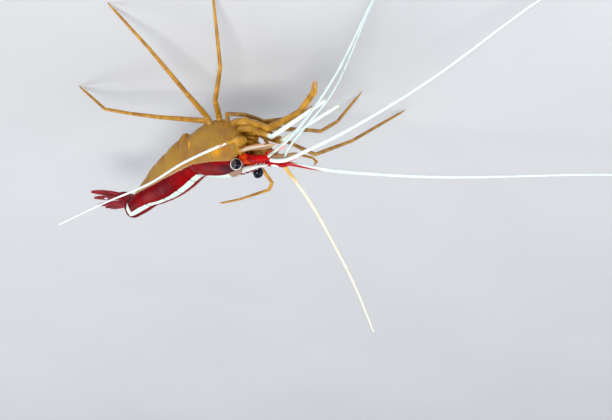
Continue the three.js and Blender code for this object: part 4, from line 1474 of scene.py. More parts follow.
    def _hems(self, bench: Bench) -> None:
        """Plants the short hairs along the lower edges of the side flaps."""
        roots, leans = [], []
        for number in range(1, len(self.joints) - 1):
            skin, _ = self.plate(number)
            half = len(self.outline(False))
            hem = int(np.argmax(skin[len(skin) // 2, :half, 2] * -1))
            for side in (hem, skin.shape[1] - hem):
                edge = skin[6:-6:2, side]
                roots.append(edge)
                leans.append(np.tile([-0.35, 0.25 * np.sign(edge[0, 1]), -0.9], (len(edge), 1)))
        roots, leans = np.vstack(roots), np.vstack(leans)
        hair = bench.bristles.plant("flap_hairs", roots, leans, np.full(len(roots), 0.32), bench.stance,
                                    bench.wardrobe.amber_hair, 0.018, 4.0, 21)
        dress(hair, Slot.SHELL)


# ----- blades


@dataclass(frozen=True)
class Leaf:
    """A thin leaf-shaped plate on the left side, from root to tip, with the way it lies across."""

    root: Point
    tip: Point
    half_width: float
    half_thickness: float
    root_share: float = 0.45
    lead: float = 0.0
    sideways: Point = (0.0, 1.0, 0.0)

    def rings(self, side: Side, steps: int = 40, sides: int = 32) -> tuple[Array, dict[str, Array], Array]:
        """Rings of the plate, its marks, and the way across it.

        Args:
            side: Which side of the animal it is on.
            steps: Rings from root to tip.
            sides: Points round each ring.

        Returns:
            The rings, the marks with along from 0 to 1 and around across the plate, and the way across.
        """
        start = np.array(self.root) * [1, side.value, 1]
        end = np.array(self.tip) * [1, side.value, 1]
        axis = unit(end - start)
        start = start - axis * self.lead
        across = unit(np.array(self.sideways) - axis * float(axis @ self.sideways))
        up = np.cross(axis, across)
        up = up * (1 if up[2] > 0 else -1)
        t = np.concatenate([np.linspace(0, 0.9, steps - 12, endpoint=False), np.linspace(0.9, 1, 12)])
        leaf = np.sin(math.pi * (0.14 + 0.78 * t)) ** 0.7
        width = self.half_width * (self.root_share + (1 - self.root_share) * np.minimum(1, t * 3)) * leaf
        width = width * np.sqrt(np.clip((1 - t) * 12, 0.02, 1))
        angle = 2 * math.pi * np.arange(sides) / sides
        reach = np.cos(angle)[None, :] * np.ones((steps, 1))
        thin = self.half_thickness * (0.75 - 0.4 * t)[:, None] * np.sin(angle)
        thin = thin * (1 + 0.6 * hump(reach, 0.0, 0.14))
        camber = -0.14 * self.half_width * reach**2
        centre = start + (end - start) * t[:, None]
        rings = (centre[:, None, :] + across * (reach * width[:, None])[..., None]
                 + up * (thin + camber)[..., None])
        marks = {"along": np.broadcast_to(t[:, None], reach.shape), "around": reach * side.value}
        return rings, marks, across

    def fringe(self, side: Side, since: float, count: int, reach: float) -> Trio:
        """Roots, leans and lengths of the hairs round the plate's edge.

        Args:
            side: Which side of the animal it is on.
            since: The share of the plate's length where the fringe starts.
            count: Hairs on each edge.
            reach: The longest hair.

        Returns:
            Roots, leans and lengths.
        """
        rings, marks, across = self.rings(side, 120, 16)
        axis = unit((np.array(self.tip) - np.array(self.root)) * [1, side.value, 1])
        t = marks["along"][:, 0]
        wanted = since + (0.995 - since) * np.linspace(0, 1, count) ** 0.8
        roots, leans, lengths = [], [], []
        for place, sign in ((0, 1), (8, -1)):
            edge = rings[:, place]
            roots.append(np.stack([np.interp(wanted, t, edge[:, k]) for k in range(3)], axis=1))
            out = ease(wanted, 1.05, since)[:, None]
            leans.append(axis * (1.1 - 0.4 * out) + sign * across * (0.25 + 0.75 * out))
            lengths.append(reach * (0.45 + 0.55 * ease(wanted, since, 0.95)))
        return np.vstack(roots), np.vstack(leans), np.concatenate(lengths)


@dataclass(frozen=True)
class TailFan:
    """The middle plate of the tail and two plates on each side, with their hairy edges."""

    root: Point = (-24.4, 0.15, -0.75)
    reach: Point = (-8.4, 0.1, -1.7)
    turn: float = math.radians(20)
    lead: float = 0.9

    def leaf(
            self, sideways: tuple[float, float], below: tuple[float, float], length: float,
            half_width: float, thickness: float, share: float) -> Leaf:
        """One plate of the fan.

        Args:
            sideways: How far to the left of the fan's middle it starts and ends.
            below: How far below the fan's middle it starts and ends.
            length: From root to tip.
            half_width: Half its greatest width.
            thickness: Half its greatest thickness.
            share: Its width at the root as a share of its widest.

        Returns:
            The plate.
        """
        reach = unit(np.array(self.reach))
        across = np.array([0.0, math.cos(self.turn), -math.sin(self.turn)])
        across = unit(across - reach * float(reach @ across))
        down = np.cross(reach, across)
        ends = [
            tuple(np.array(self.root) + reach * length * i + across * sideways[i] + down * below[i])
            for i in (0, 1)]
        return Leaf(*ends, half_width, thickness, share, self.lead, tuple(across))

    def build(self, bench: Bench) -> None:
        """Builds the five plates and their fringes."""
        plates = [("tail_middle", self.leaf((0, 0), (0, 0), 8.7, 0.75, 0.3, 0.8), "telson", 0.0)]
        for side in Side:
            s = side.value
            inner = self.leaf((0.8 * s, 1.75 * s), (0.45, 0.6), 8.8, 0.8, 0.26, 0.45)
            outer = self.leaf((1.35 * s, 3.0 * s), (1.0, 1.25), 8.9, 1.0, 0.26, 0.45)
            plates += [(f"tail_plate_{side.label}_inner", inner, f"uropod_{side.label}_inner", 0.4 + 0.4 * s),
                       (f"tail_plate_{side.label}_outer", outer, f"uropod_{side.label}_outer", 0.0)]
        beds = HairBeds()
        for name, leaf, node, spot in plates:
            rings, marks, _ = leaf.rings(Side.LEFT)
            along, around = marks["along"], marks["around"]
            white = spot * hump(along, 0.6, 0.07) * hump(around, 0.1, 0.5)
            draft = Draft()
            draft.loft(rings, **marks, stripe=white, tone=ease(np.abs(around), 0.75, 1.0))
            if "plate" in name:
                foot = np.array(leaf.root)
                knee = foot + [1.6, -0.35 * foot[1], 0.35]
                stub = smooth_line([knee, foot + [0.6, 0, 0.1], foot + [-0.7, 0, -0.1]], 0.15)
                draft.tube(stub, np.full(len(stub), 0.55), 16)
            dress(draft.build(name, bench.stance, [bench.wardrobe.tail]), Slot.CRIMSON, node)
            beds.add(leaf.fringe(Side.LEFT, 0.45, 70, 0.5))
        beds.plant("tail_hairs", bench, bench.wardrobe.red_hair, Slot.CRIMSON, 0.018, 31)


# ----- limbs


@dataclass(frozen=True)
class Limb:
    """A limb of hard tubes joined end to end."""

    joints: Line
    radii: tuple[float, ...]
    flat: float = 0.92
    knob: float = 0.05
    ringed: tuple[int, ...] = ()

    def skins(self, draft: Draft, layer: int = 0, whiten: tuple[float, float] | None = None) -> None:
        """Adds the limb's tubes to a draft.

        Args:
            draft: Where they go.
            layer: Which material they wear.
            whiten: The limb turns white between these shares of its length.
        """
        joints = np.array(self.joints, float)
        reach = reach_along(joints)
        for i in range(len(joints) - 1):
            start, end = joints[i], joints[i + 1]
            length = float(np.linalg.norm(end - start))
            axis = (end - start) / length
            r0, r1 = self.radii[i], self.radii[i + 1]
            unit0, unit1 = min(r0, length * 0.22), min(r1, length * 0.22)
            last = i == len(joints) - 2
            tail = ([(length - 1.0 * unit1, 0.98), (length - 0.4 * unit1, 0.9), (length - 0.1 * unit1, 0.7),
                     (length, 0.42)] if last else
                    [(length - 1.5 * unit1, 1.0), (length - 0.9 * unit1, 1 + 0.6 * self.knob),
                     (length - 0.35 * unit1, 1 + self.knob), (length + 0.1 * unit1, 1 + 0.3 * self.knob),
                     (length + 0.45 * unit1, 0.84), (length + 0.7 * unit1, 0.5)])
            head = [(-0.6 * unit0, 0.4), (-0.45 * unit0, 0.68), (-0.1 * unit0, 0.88), (0.4 * unit0, 0.93),
                    (1.0 * unit0, 0.97), (1.6 * unit0, 1.0)]
            until = length - (1.0 if last else 1.5) * unit1
            middle = np.linspace(1.6 * unit0, until, max(int(length / 0.35), 4) + 1)[1:-1]
            swell, pitch = (0.06, 1.05) if i in self.ringed else (0.05, 2 * length)
            span = [(place, 1 + swell * math.sin(place * 2 * math.pi / pitch)) for place in middle]
            profile = np.array([*head, *span, *tail])
            places, scale = profile[:, 0], profile[:, 1]
            radius = scale * np.interp(places, [0, length], [r0, r1])
            share = (reach[i] + np.clip(places, 0, length)) / reach[-1]
            knob = np.maximum(ease(places, 1.6 * unit0, 0.0), ease(places, length - 1.6 * unit1, length))
            white = ease(share, *whiten) if whiten else np.zeros(len(places))
            draft.tube(start + axis * places[:, None], radius, 16, self.flat, layer,
                       along=reach[i] + places, tone=knob, stripe=white)

    def hair_bed(self, spans: Sequence[tuple[float, float]], per_mm: float, reach: float, lift: float,
                 seed: int) -> Trio:
        """Roots, leans and lengths of hairs on stretches of the limb.

        Args:
            spans: Stretches, as shares of the limb's length.
            per_mm: Hairs for each millimetre.
            reach: The longest hair.
            lift: How far they stand off, from 0 flat to 1 upright.
            seed: Which pattern.

        Returns:
            Roots, leans and lengths.
        """
        draw = np.random.default_rng(seed)
        joints = np.array(self.joints, float)
        walk = reach_along(joints)
        roots, leans, lengths = [], [], []
        for low, high in spans:
            count = max(int((high - low) * walk[-1] * per_mm), 3)
            for place in np.sort(draw.uniform(low, high, count)) * walk[-1]:
                i = int(np.clip(np.searchsorted(walk, place) - 1, 0, len(joints) - 2))
                axis = unit(joints[i + 1] - joints[i])
                centre = joints[i] + axis * (place - walk[i])
                radius = np.interp(place, walk, self.radii)
                out = draw.normal(size=3)
                out = unit(out - axis * float(out @ axis))
                roots.append(centre + out * radius * 0.88)
                leans.append(axis * (1 - lift) + out * lift)
                lengths.append(reach * draw.uniform(0.6, 1.0))
        return np.array(roots), np.array(leans), np.array(lengths)


class HairBeds:
    """Gathers hairs from several limbs into one piece."""

    def __init__(self) -> None:
        """Starts empty."""
        self.beds: list[Trio] = []

    def add(self, bed: Trio) -> None:
        """Adds roots, leans and lengths."""
        self.beds.append(bed)

    def plant(self, name: str, bench: Bench, material: Material, slot: Slot, thickness: float,
              seed: int) -> None:
        """Plants them all as one piece."""
        roots, leans, lengths = (np.concatenate(parts) for parts in zip(*self.beds))
        dress(
            bench.bristles.plant(name, roots, leans, lengths, bench.stance, material, thickness, 3.5, seed),
            slot)


@dataclass(frozen=True)
class Legs:
    """Ten legs. The first pair has pincers, the second is thin, and the others end in a small claw."""

    feet: Mapping[str, tuple[float, float]] = field(default_factory=lambda: {
        "left_3": (26.6, 20.9), "left_4": (6.7, 30.1), "left_5": (-22.6, 14.5), "right_3": (25.9, -32.4),
        "right_4": (23.5, -22.1)})
    joints: Mapping[str, Line] = field(default_factory=lambda: {
        "left_1": ((11.7, 1.6, -4.7), (12.3, 2, -6.3), (17.0, 3.3, -4.6), (21.7, 2.0, -1.9), (28.9, 0.7, -3.0),
                   (34.2, 1.8, -5.3), (35.5, 2.8, -6.6)),
        "left_2": ((10.2, 2.0, -6.6), (10.3, 2.4, -8.7), (14.9, 1.6, -7.2), (19.5, 0.7, -4.6), (24.3, 0, -3.8),
                   (28.1, -0.3, -4.4)),
        "left_3": ((8.3, 2.6, -7.9), (8.4, 2.9, -9), (11.3, 6.4, -9.8), (19.9, 12.7, -12)),
        "left_4": ((6.1, 3, -7.7), (6.1, 3.9, -8.9), (7.5, 10.5, -11.4), (9.4, 21.6, -16.4)),
        "left_5": ((4.1, 2.1, -8), (4.1, 2.5, -9.2), (-3.6, 8.4, -10.7), (-9.4, 10.9, -12.6), (-15.1, 13.3, -14.8)),
        "right_1": ((11.7, -1.6, -5.0), (12, -2, -7), (17.5, -0.9, -5.4), (23.7, -2.1, -3.9), (29.3, -2.5, -5.3)),
        "right_2": ((10.2, -2.0, -6.9), (10.5, -2.7, -8.9), (11.5, -4, -8.5), (15.2, -6.2, -0.5), (19.4, -7.5, -0.3),
                    (22.5, -9.3, 1.1), (22.8, -10, 1.8), (22.3, -9.8, 2.5)),
        "right_3": ((8.1, -2.2, -7), (8.4, -3.1, -9), (9.4, -4.5, -8.8), (15.1, -11.4, -4.7), (17.5, -14.8, -2.9),
                    (21.4, -21.4, -6.7)),
        "right_4": ((6, -2.2, -7), (6.1, -3, -9.1), (15.3, -15.2, -9.1), (16.9, -17, -8.9), (19.1, -19.5, -11.1)),
        "right_5": ((4, -1.8, -7), (4.2, -2.7, -9.3), (4.6, -4.9, -8.9), (5.3, -14.5, -0.4), (3.1, -15.7, 0.1),
                    (-4.3, -14.4, 0.4), (-9.2, -13.7, 0))})
    radii: Mapping[str, tuple[float, ...]] = field(default_factory=lambda: {
        "left_1": (0.7, 0.8, 0.84, 0.74, 0.62, 0.6, 0.3), "left_2": (0.5, 0.5, 0.5, 0.4, 0.35, 0.28),
        "left_3": (0.75, 0.7, 0.58, 0.45, 0.3), "left_4": (0.75, 0.7, 0.55, 0.42, 0.3),
        "left_5": (0.75, 0.7, 0.52, 0.45, 0.4, 0.3), "right_1": (0.6, 0.6, 0.58, 0.55, 0.3),
        "right_2": (0.5, 0.5, 0.48, 0.38, 0.33, 0.3, 0.28, 0.26), "right_3": (0.75, 0.72, 0.7, 0.5, 0.48, 0.4, 0.3),
        "right_4": (0.75, 0.7, 0.5, 0.45, 0.4, 0.3), "right_5": (0.75, 0.7, 0.6, 0.42, 0.38, 0.3, 0.26)})
    slim: float = 0.86
    tan: tuple[str, ...] = ("right_3", "right_4", "left_2")

    def build(self, bench: Bench) -> None:
        """Builds the legs, their claws and their hairs."""
        amber, tan = HairBeds(), HairBeds()
        for name, joints in self.joints.items():
            draft = Draft()
            radii = tuple(radius * (1.0 if name.endswith("1") else self.slim) for radius in self.radii[name])
            tip_radius = radii[-1]
            if name in self.feet:
                limb = self._standing(draft, joints, radii, bench.stance.footprint(*self.feet[name]))
            elif name.endswith(("_1", "_2")):
                limb = self._pincer(draft, joints, radii)
            else:
                limb = Limb(joints, radii)
                limb.skins(draft)
                tip, before = np.array(joints[-1]), np.array(joints[-2])
                way = unit(tip - before)
                draft.spine(tip - way * 0.3, tip + way * 0.9, tip_radius * 0.7, (0, 0, -0.12), tone=1.0)
            is_tan = name in self.tan
            finish = bench.wardrobe.tan_limb if is_tan else bench.wardrobe.limb
            dress(draft.build(f"leg_{name}_shell", bench.stance, [finish]), Slot.LIMB, f"leg_{name}")
            bed = limb.hair_bed([(0.3, 0.97)], 1.6, 0.5, 0.45, 40 + len(name) + int(name[-1]))
            (tan if is_tan else amber).add(bed)
            if name.endswith("_1"):
                amber.add(limb.hair_bed([(0.93, 1.0)], 26, 0.95, 0.3, 61))
                amber.add(limb.hair_bed([(0.82, 0.93)], 9, 0.7, 0.35, 62))
        amber.plant("leg_hairs", bench, bench.wardrobe.amber_hair, Slot.LIMB, 0.024, 41)
        tan.plant("far_leg_hairs", bench, bench.wardrobe.pale_hair, Slot.LIMB, 0.02, 42)

    @staticmethod
    def _standing(draft: Draft, joints: Line, radii: tuple[float, ...], foot: Point) -> Limb:
        """Adds a walking leg that ends in a small claw on the floor.

        Args:
            draft: Where its skins go.
            joints: Its joints as far as the last one above the claw.
            radii: Its radii.
            foot: Where the claw stands.

        Returns:
            The leg as far as its claw.
        """
        end, before = np.array(foot), np.array(joints[-1])
        way = unit(end - before)
        ankle = end - way * 1.5
        ankle[2] += 0.06
        limb = Limb((*joints, tuple(ankle)), radii)
        limb.skins(draft)
        tip = end + np.array([0, 0, 0.02])
        path = smooth_line([ankle - way * 0.25, ankle + way * 0.35 + np.array([0, 0, 0.1]), tip], 0.12)
        draft.tube(path, np.linspace(radii[-1] * 0.85, 0.09, len(path)), 12, tone=0.6)
        for share in (0.35, 0.6, 0.8):
            root = path[int(share * (len(path) - 1))]
            draft.spine(root, root + way * 0.35 - np.array([0, 0, 0.1]), 0.05, tone=1.0)
        return limb

    @staticmethod
    def _pincer(draft: Draft, joints: Line, radii: tuple[float, ...]) -> Limb:
        """Adds a leg that ends in two fingers.

        Args:
            draft: Where its skins go.
            joints: Its joints, the last one between the finger tips.
            radii: Its radii.

        Returns:
            The leg with one finger.
        """
        is_thin = radii[0] < 0.52
        end, before = np.array(joints[-1]), np.array(joints[-2])
        way = unit(end - before)
        has_palm = np.linalg.norm(end - before) < 2.4
        palm = before if has_palm else end - way * 1.9
        kept = joints[:-1] if has_palm else (*joints[:-1], tuple(palm))
        limb = Limb(kept, radii[: len(kept)], ringed=(3,) if is_thin else ())
        limb.skins(draft)
        across = unit(np.cross(way, [0.2, 1.0, 0.1]))
        radius = radii[len(kept) - 1]
        for sign in (1, -1):
            spread = across * sign * radius
            path = smooth_line([palm - way * 0.3 + spread * 0.35, palm + (end - palm) * 0.35 + spread * 0.75,
                                palm + (end - palm) * 0.75 + spread * 0.62, end + spread * 0.22], 0.1)
            draft.tube(path, radius * np.linspace(0.68, 0.18, len(path)), 12, tone=0.8)
        return Limb((*kept, tuple(end)), (*radii[: len(kept)], radius * 0.5))


# ----- head


@dataclass(frozen=True)
class Eyes:
    """Two round eyes on short stalks."""

    stalk_root: Point = (13.5, 0.95, 2.3)
    stalk_radius: float = 0.62
    aims: Mapping[Side, Point] = field(default_factory=lambda: {Side.LEFT: (0.72, 0.62, 0.33),
                                                                Side.RIGHT: (0.90, -0.12, 0.40)})
    rims: Mapping[Side, float] = field(default_factory=lambda: {Side.LEFT: 61.0, Side.RIGHT: 92.0})
    clouded: Point = (-0.5, 0.85, 0.0)

    def build(self, bench: Bench) -> None:
        """Builds both eyes and their stalks."""
        for side in Side:
            centre = np.array(EYE_CENTRE) * [1, side.value, 1]
            root = np.array(self.stalk_root) * [1, side.value, 1]
            self._ball(bench, side, centre, unit(np.array(self.aims[side])))
            axis = unit(centre - root)
            length = float(np.linalg.norm(centre - root))
            places = np.linspace(-0.6, length + 0.15, 26)
            radius = self.stalk_radius * (0.9 + 0.16 * ease(places, 0.0, 0.9))
            radius = radius * (1 + 0.34 * ease(places, length - 0.95, length - 0.1))
            draft = Draft()
            pale = 0.35 if side is Side.LEFT else 0.0
            dark = ease(places, 0.9 if side is Side.LEFT else 2.4, 0.1)
            draft.tube(root + axis * places[:, None], radius, 28, along=places, tone=dark,
                       stripe=pale * ease(places, 0.7, 1.4))
            dress(
                draft.build(f"eyestalk_shell_{side.label}", bench.stance, [bench.wardrobe.eyestalk]),
                Slot.LIMB, f"eyestalk_{side.label}")

    def _ball(self, bench: Bench, side: Side, centre: Array, aim: Array) -> None:
        """Builds one eye: a ball whose cornea stands a little proud of the rim round it.

        Args:
            bench: What it is built with.
            side: Which eye.
            centre: Its centre.
            aim: The way its cornea faces.
        """
        polar = np.linspace(0.02, math.pi - 0.02, 64)
        degrees = np.degrees(polar) + EyeFinish.rim - self.rims[side]
        relief = 0.012 * hump(degrees, 30, 40) - 0.02 * hump(degrees, 62, 4) + 0.008 * hump(degrees, 70, 5)
        radius = EYE_RADIUS * (1 + relief)
        first = unit(np.cross(aim, [0.1, 0.2, 1.0]))
        second = np.cross(aim, first)
        angle = 2 * math.pi * np.arange(72) / 72
        out = np.cos(angle)[:, None] * first + np.sin(angle)[:, None] * second
        rings = (centre + (radius * np.cos(polar))[:, None, None] * aim
                 + (radius * np.sin(polar))[:, None, None] * out[None])
        draft = Draft()
        cloud = unit(rings - centre) @ unit(np.array(self.clouded)) - (0.15 if side is Side.LEFT else 2.0)
        draft.loft(
            rings, along=np.broadcast_to(degrees[:, None], rings.shape[:2]), tone=ease(cloud, -0.3, 0.5))
        dress(
            draft.build(f"eyeball_{side.label}", bench.stance, [bench.wardrobe.eye]), Slot.CORNEA,
            f"eye_{side.label}")


@dataclass(frozen=True)
class HeadStalks:
    """The stalks that carry the feelers, and the blade beside each."""

    antennules: Mapping[Side, Line] = field(default_factory=lambda: {
        Side.LEFT: ((13.6, 1.35, 1.35), (18.5, 1.75, 3.3), (20.6, 1.83, 3.92), (22.4, 1.9, 4.4)),
        Side.RIGHT: ((13.6, -1.35, 0.95), (18.4, -1.85, 3.1), (20.6, -1.93, 3.95), (22.6, -2.0, 4.7))})
    antennule_radii: tuple[float, ...] = (0.8, 0.76, 0.7, 0.6)
    antennas: Mapping[Side, Line] = field(default_factory=lambda: {
        Side.LEFT: ((12.8, 1.4, -1.2), (15.4, 3.2, -0.9), (17.5, 4.5, 0), (17.3, 6.1, 0.4), (15.55, 7.05, 0.72)),
        Side.RIGHT: ((12.8, -1.4, -1.2), (15.4, -3.4, -1.0), (17.2, -5.2, 0.6), (18.55, -5.42, 2.5))})
    antenna_radii: Mapping[Side, tuple[float, ...]] = field(default_factory=lambda: {
        Side.LEFT: (0.9, 1.0, 0.8, 0.62, 0.42), Side.RIGHT: (0.9, 1.0, 0.75, 0.5)})
    lobe_line: Line = ((12.9, 0.85, 1.9), (14.6, 0.95, 2.25), (16.2, 1.0, 2.6), (17.9, 1.1, 3.0))
    base_line: Line = ((12.6, 1.7, -4.2), (13.6, 1.9, -2.6), (14.3, 2.15, -0.7), (14.6, 2.2, 1.2))
    blade: Leaf = Leaf((16.0, 3.2, 1.3), (25.0, 3.3, 3.0), 1.3, 0.22, 0.45, 0.8)

    def build(self, bench: Bench) -> None:
        """Builds the stalks and blades."""
        w = bench.wardrobe
        fringe = HairBeds()
        for side in Side:
            s = side.value
            draft = Draft()
            joints = self.antennules[side]
            Limb(joints, self.antennule_radii, 0.95, 0.02).skins(draft)
            root = smooth_line(np.array(self.lobe_line) * [1, s, 1], 0.15)
            swell = np.sin(np.linspace(0.35, math.pi - 0.12, len(root))) ** 0.5
            draft.tube(root, 0.86 * swell, 20, 0.8, tone=1.0)
            draft.spine((14.8, 2.0 * s, 1.5), (17.3, 2.75 * s, 2.3), 0.3, (0, 0.1 * s, 0), tone=0.5)
            draft.spine((17.7, 2.3 * s, 2.7), (18.8, 2.75 * s, 3.0), 0.16)
            end = np.array(joints[-1])
            draft.spine(end + [-0.9, 0.3 * s, -0.35], end + [-0.3, 0.5 * s, -1.5], 0.22)
            piece = self._warm(draft, joints, side)
            dress(piece.build(f"antennule_stalk_shell_{side.label}", bench.stance, [w.crimson]), Slot.CRIMSON,
                  f"antennule_stalk_{side.label}")
            draft = Draft()
            Limb(self.antennas[side], self.antenna_radii[side], 0.95, 0.02).skins(draft)
            base = smooth_line(np.array(self.base_line) * [1, s, 1], 0.15)
            draft.tube(base, 1.25 * np.sin(np.linspace(0.3, math.pi - 0.3, len(base))) ** 0.5, 22, 0.8)
            draft.spine((16.3, 4.6 * s, -0.5), (17.6, 5.1 * s, -0.6), 0.2, tone=0.6)
            dress(draft.build(f"antenna_stalk_shell_{side.label}", bench.stance, [w.limb]), Slot.LIMB,
                  f"antenna_stalk_{side.label}")
            rings, marks, _ = self.blade.rings(side, 48, 40)
            along, across = marks["along"], marks["around"]
            # the white line along the blade's outer edge is partly the blade's own colour and partly a painted
            # highlight
            white = hump(across, 0.45, 0.2) * ease(along, 0.05, 0.15) * ease(along, 0.97, 0.8)
            draft = Draft()
            draft.loft(rings, **marks, tone=ease(np.abs(across), 0.72, 1.0), stripe=white)
            tip, root = np.array(self.blade.tip) * [1, s, 1], np.array(self.blade.root) * [1, s, 1]
            axis = unit(tip - root)
            outer = root + (tip - root) * 0.8 + np.array([0, 0.86 * s, 0])
            draft.spine(outer, outer + axis * 1.5 + np.array([0, 0.1 * s, 0]), 0.16, tone=1.0)
            dress(draft.build(f"antennal_blade_{side.label}", bench.stance, [w.blade]), Slot.BLADE,
                  f"antennal_scale_{side.label}")
            roots, leans, lengths = self.blade.fringe(side, 0.2, 90, 0.9)
            keep = (roots[:, 1] - root[1]) * s < 0.35
            fringe.add((roots[keep], leans[keep], lengths[keep]))
        fringe.plant("blade_hairs", bench, w.pale_hair, Slot.BLADE, 0.02, 51)

    @staticmethod
    def _warm(draft: Draft, joints: Sequence[Point], side: Side) -> Draft:
        """Marks the orange root of a stalk and, on the right, the white patch on its back.

        Args:
            draft: The stalk's skins.
            joints: The stalk's line.
            side: Which stalk.

        Returns:
            The draft.
        """
        line = np.array(joints)
        for points, tone, white in zip(draft.points, draft.marks["tone"], draft.marks["stripe"]):
            near = np.linalg.norm(points - line[0], axis=1)
            tone[:] = np.maximum(0.45 * tone * (tone < 1), ease(near, 4.4, 1.8))
            if side is Side.RIGHT:
                above = points[:, 2] - np.interp(points[:, 0], line[:, 0], line[:, 2])
                white[:] = ease(above, 0.3, 0.6) * hump(points[:, 0], 19.9, 1.1)
        return draft


@dataclass(frozen=True)
class Feelers:
    """Six long feelers: their lines, root radii and colours."""

    lines: Mapping[str, tuple[float, str, Line]] = field(default_factory=lambda: {
        "antennule_left_outer": (0.3, "grey_feeler", (
            (22.3, 2.2, 4.2), (22.9, 2.45, 4.2), (26.4, 2.1, 2.9), (33.1, 2.8, 0.2), (43.1, 4.8, -4.8),
            (58.1, 10.5, -12.1), (70, 15.5, -15.5))),
        "antennule_left_inner": (0.4, "feeler", (
            (22.2, 1.6, 4.7), (22.9, 1.3, 5.0), (24.5, -0.1, 5.0), (28.4, -1.8, 3.8), (36.3, -4.3, 1.6),
            (47, -7.2, -2), (56.3, -8.8, -5), (78.1, -11.4, -12.6), (86, -12.6, -14.3))),
        "antennule_right_inner": (0.28, "grey_feeler", (
            (22.4, -1.7, 4.2), (22.9, -1.3, 3.9), (24.8, -0.5, 2.7), (28.7, -0.4, 0.2), (36.1, -1.4, -5.8),
            (52.2, 4, -16.9), (61, 7.5, -18.6))),
        "antennule_right_outer": (0.42, "red_backed_feeler", (
            (22.4, -2.2, 4.6), (22.7, -2.75, 4.4), (24, -7.8, 4.1), (26.8, -13.8, 4), (36, -31.1, 2.8),
            (58.6, -57, 1.6), (66.5, -65.5, 2.4))),
        "antenna_left": (0.29, "near_antenna", (
            (15.5, 7.05, 0.75), (15.25, 7.1, 0.8), (5.1, 8.9, 2.2), (-4.1, 9.6, 3.9), (-18.8, 10.6, 4.5),
            (-32.7, 10.8, 5.0))),
        "antenna_right": (0.38, "cream_feeler", (
            (18.55, -5.42, 2.5), (18.65, -5.6, 3.0), (17.5, -13.1, 7.4), (15.1, -21.1, 12.1),
            (11.3, -32.1, 19), (7.5, -41.5, 26)))})
    tip_radius: float = 0.15
    branch: Line = ((21.9, 2.0, 3.8), (22.6, 2.2, 3.5), (25.2, 2.1, 3.6), (26.8, 2.0, 3.45))

    def build(self, bench: Bench) -> None:
        """Builds the feelers and the short red branch of the left one."""
        for node, (radius, finish, line) in self.lines.items():
            material = getattr(bench.wardrobe, finish)
            piece = bench.whips.whip(
                f"{node}_whip", smooth_line(line, 0.4), bench.stance, radius, self.tip_radius, material)
            dress(piece, Slot.FEELER, node)
        for side in Side:
            line = np.array(self.branch) * [1, side.value, 1] + [0, 0, 0 if side is Side.LEFT else 0.55]
            branch = bench.whips.whip(
                f"short_branch_{side.label}", smooth_line(line, 0.2), bench.stance, 0.36, 0.12,
                bench.wardrobe.red_branch, 0.35, 0.06)
            dress(branch, Slot.CRIMSON)


@dataclass(frozen=True)
class MouthLimbs:
    """The third jaw legs, long and white towards their ends, and the closed mouth parts between them.

    Each mouth plate is a distance from the middle, a height, half a width and a length.
    """

    joints: Mapping[Side, Line] = field(default_factory=lambda: {
        Side.LEFT: ((13.0, 1.5, -4.0), (14.6, 2.1, -4.2), (18.2, 3.2, -2.6), (22.8, 1.9, 0.2), (37.8, 2.4, -2.1)),
        Side.RIGHT: ((13.2, -1.5, -3.9), (14.6, -1.9, -4.6), (17.2, -2.4, -3.0), (20.9, -1.9, -0.6),
                     (36.1, -2.9, -3.4))})
    radii: Mapping[Side, tuple[float, ...]] = field(default_factory=lambda: {
        Side.LEFT: (0.8, 0.88, 0.8, 0.5, 0.3), Side.RIGHT: (0.7, 0.8, 0.9, 0.5, 0.3)})
    mouth_plates: Rows = (
        (0.75, -1.6, 0.5, 2.2), (0.6, -2.5, 0.6, 2.7), (0.95, -3.1, 0.42, 3.2), (0.25, -3.4, 0.34, 2.4))

    def build(self, bench: Bench) -> None:
        """Builds the jaw legs, the mouth parts and their hairs."""
        hair = HairBeds()
        for side in Side:
            joints, radii = self.joints[side], self.radii[side]
            limb = Limb(joints, radii, 0.9)
            draft = Draft()
            limb.skins(draft, whiten=(0.34, 0.46))
            dress(draft.build(f"jaw_leg_{side.label}", bench.stance, [bench.wardrobe.limb]), Slot.LIMB,
                  f"maxilliped_{side.label}")
            hair.add(limb.hair_bed([(0.42, 0.99)], 7, 0.7, 0.4, 71 + side.value))
            hair.add(limb.hair_bed([(0.94, 1.0)], 24, 0.6, 0.3, 75 + side.value))
        draft = Draft()
        for s in (1, -1):
            for y, z, width, length in self.mouth_plates:
                line = smooth_line([(13.6, y * s * 1.3, z), (14.9, y * s * 1.15, z - 0.1),
                                    (13.6 + length, y * s * 0.45, z + 0.35)], 0.16)
                share = np.linspace(0, 1, len(line))
                blunt = np.sqrt(np.clip(share * 8, 0.1, 1)) * np.sqrt(np.clip((1 - share) * 5, 0.04, 1))
                draft.tube(line, width * blunt, 18, 0.7, tone=0.3 + 0.5 * share)
            branch = smooth_line([(12.4, 1.2 * s, -5.3), (14.0, 1.9 * s, -5.6), (16.9, 2.6 * s, -4.3),
                                  (20.6, 1.7 * s, -1.6)], 0.16)
            share = np.linspace(0, 1, len(branch))
            draft.tube(
                branch, 0.86 * np.sqrt(np.clip(share * 8, 0.1, 1)) * (1 - 0.62 * share), 18, 0.8, tone=0.2)
        draft.spine((14.2, 0.0, -2.2), (17.0, 0.0, -2.0), 0.8, (0, 0, -0.2))
        dress(draft.build("mouth_parts", bench.stance, [bench.wardrobe.limb]), Slot.LIMB, "mouthparts")
        hair.plant("jaw_leg_hairs", bench, bench.wardrobe.pale_hair, Slot.LIMB, 0.022, 72)


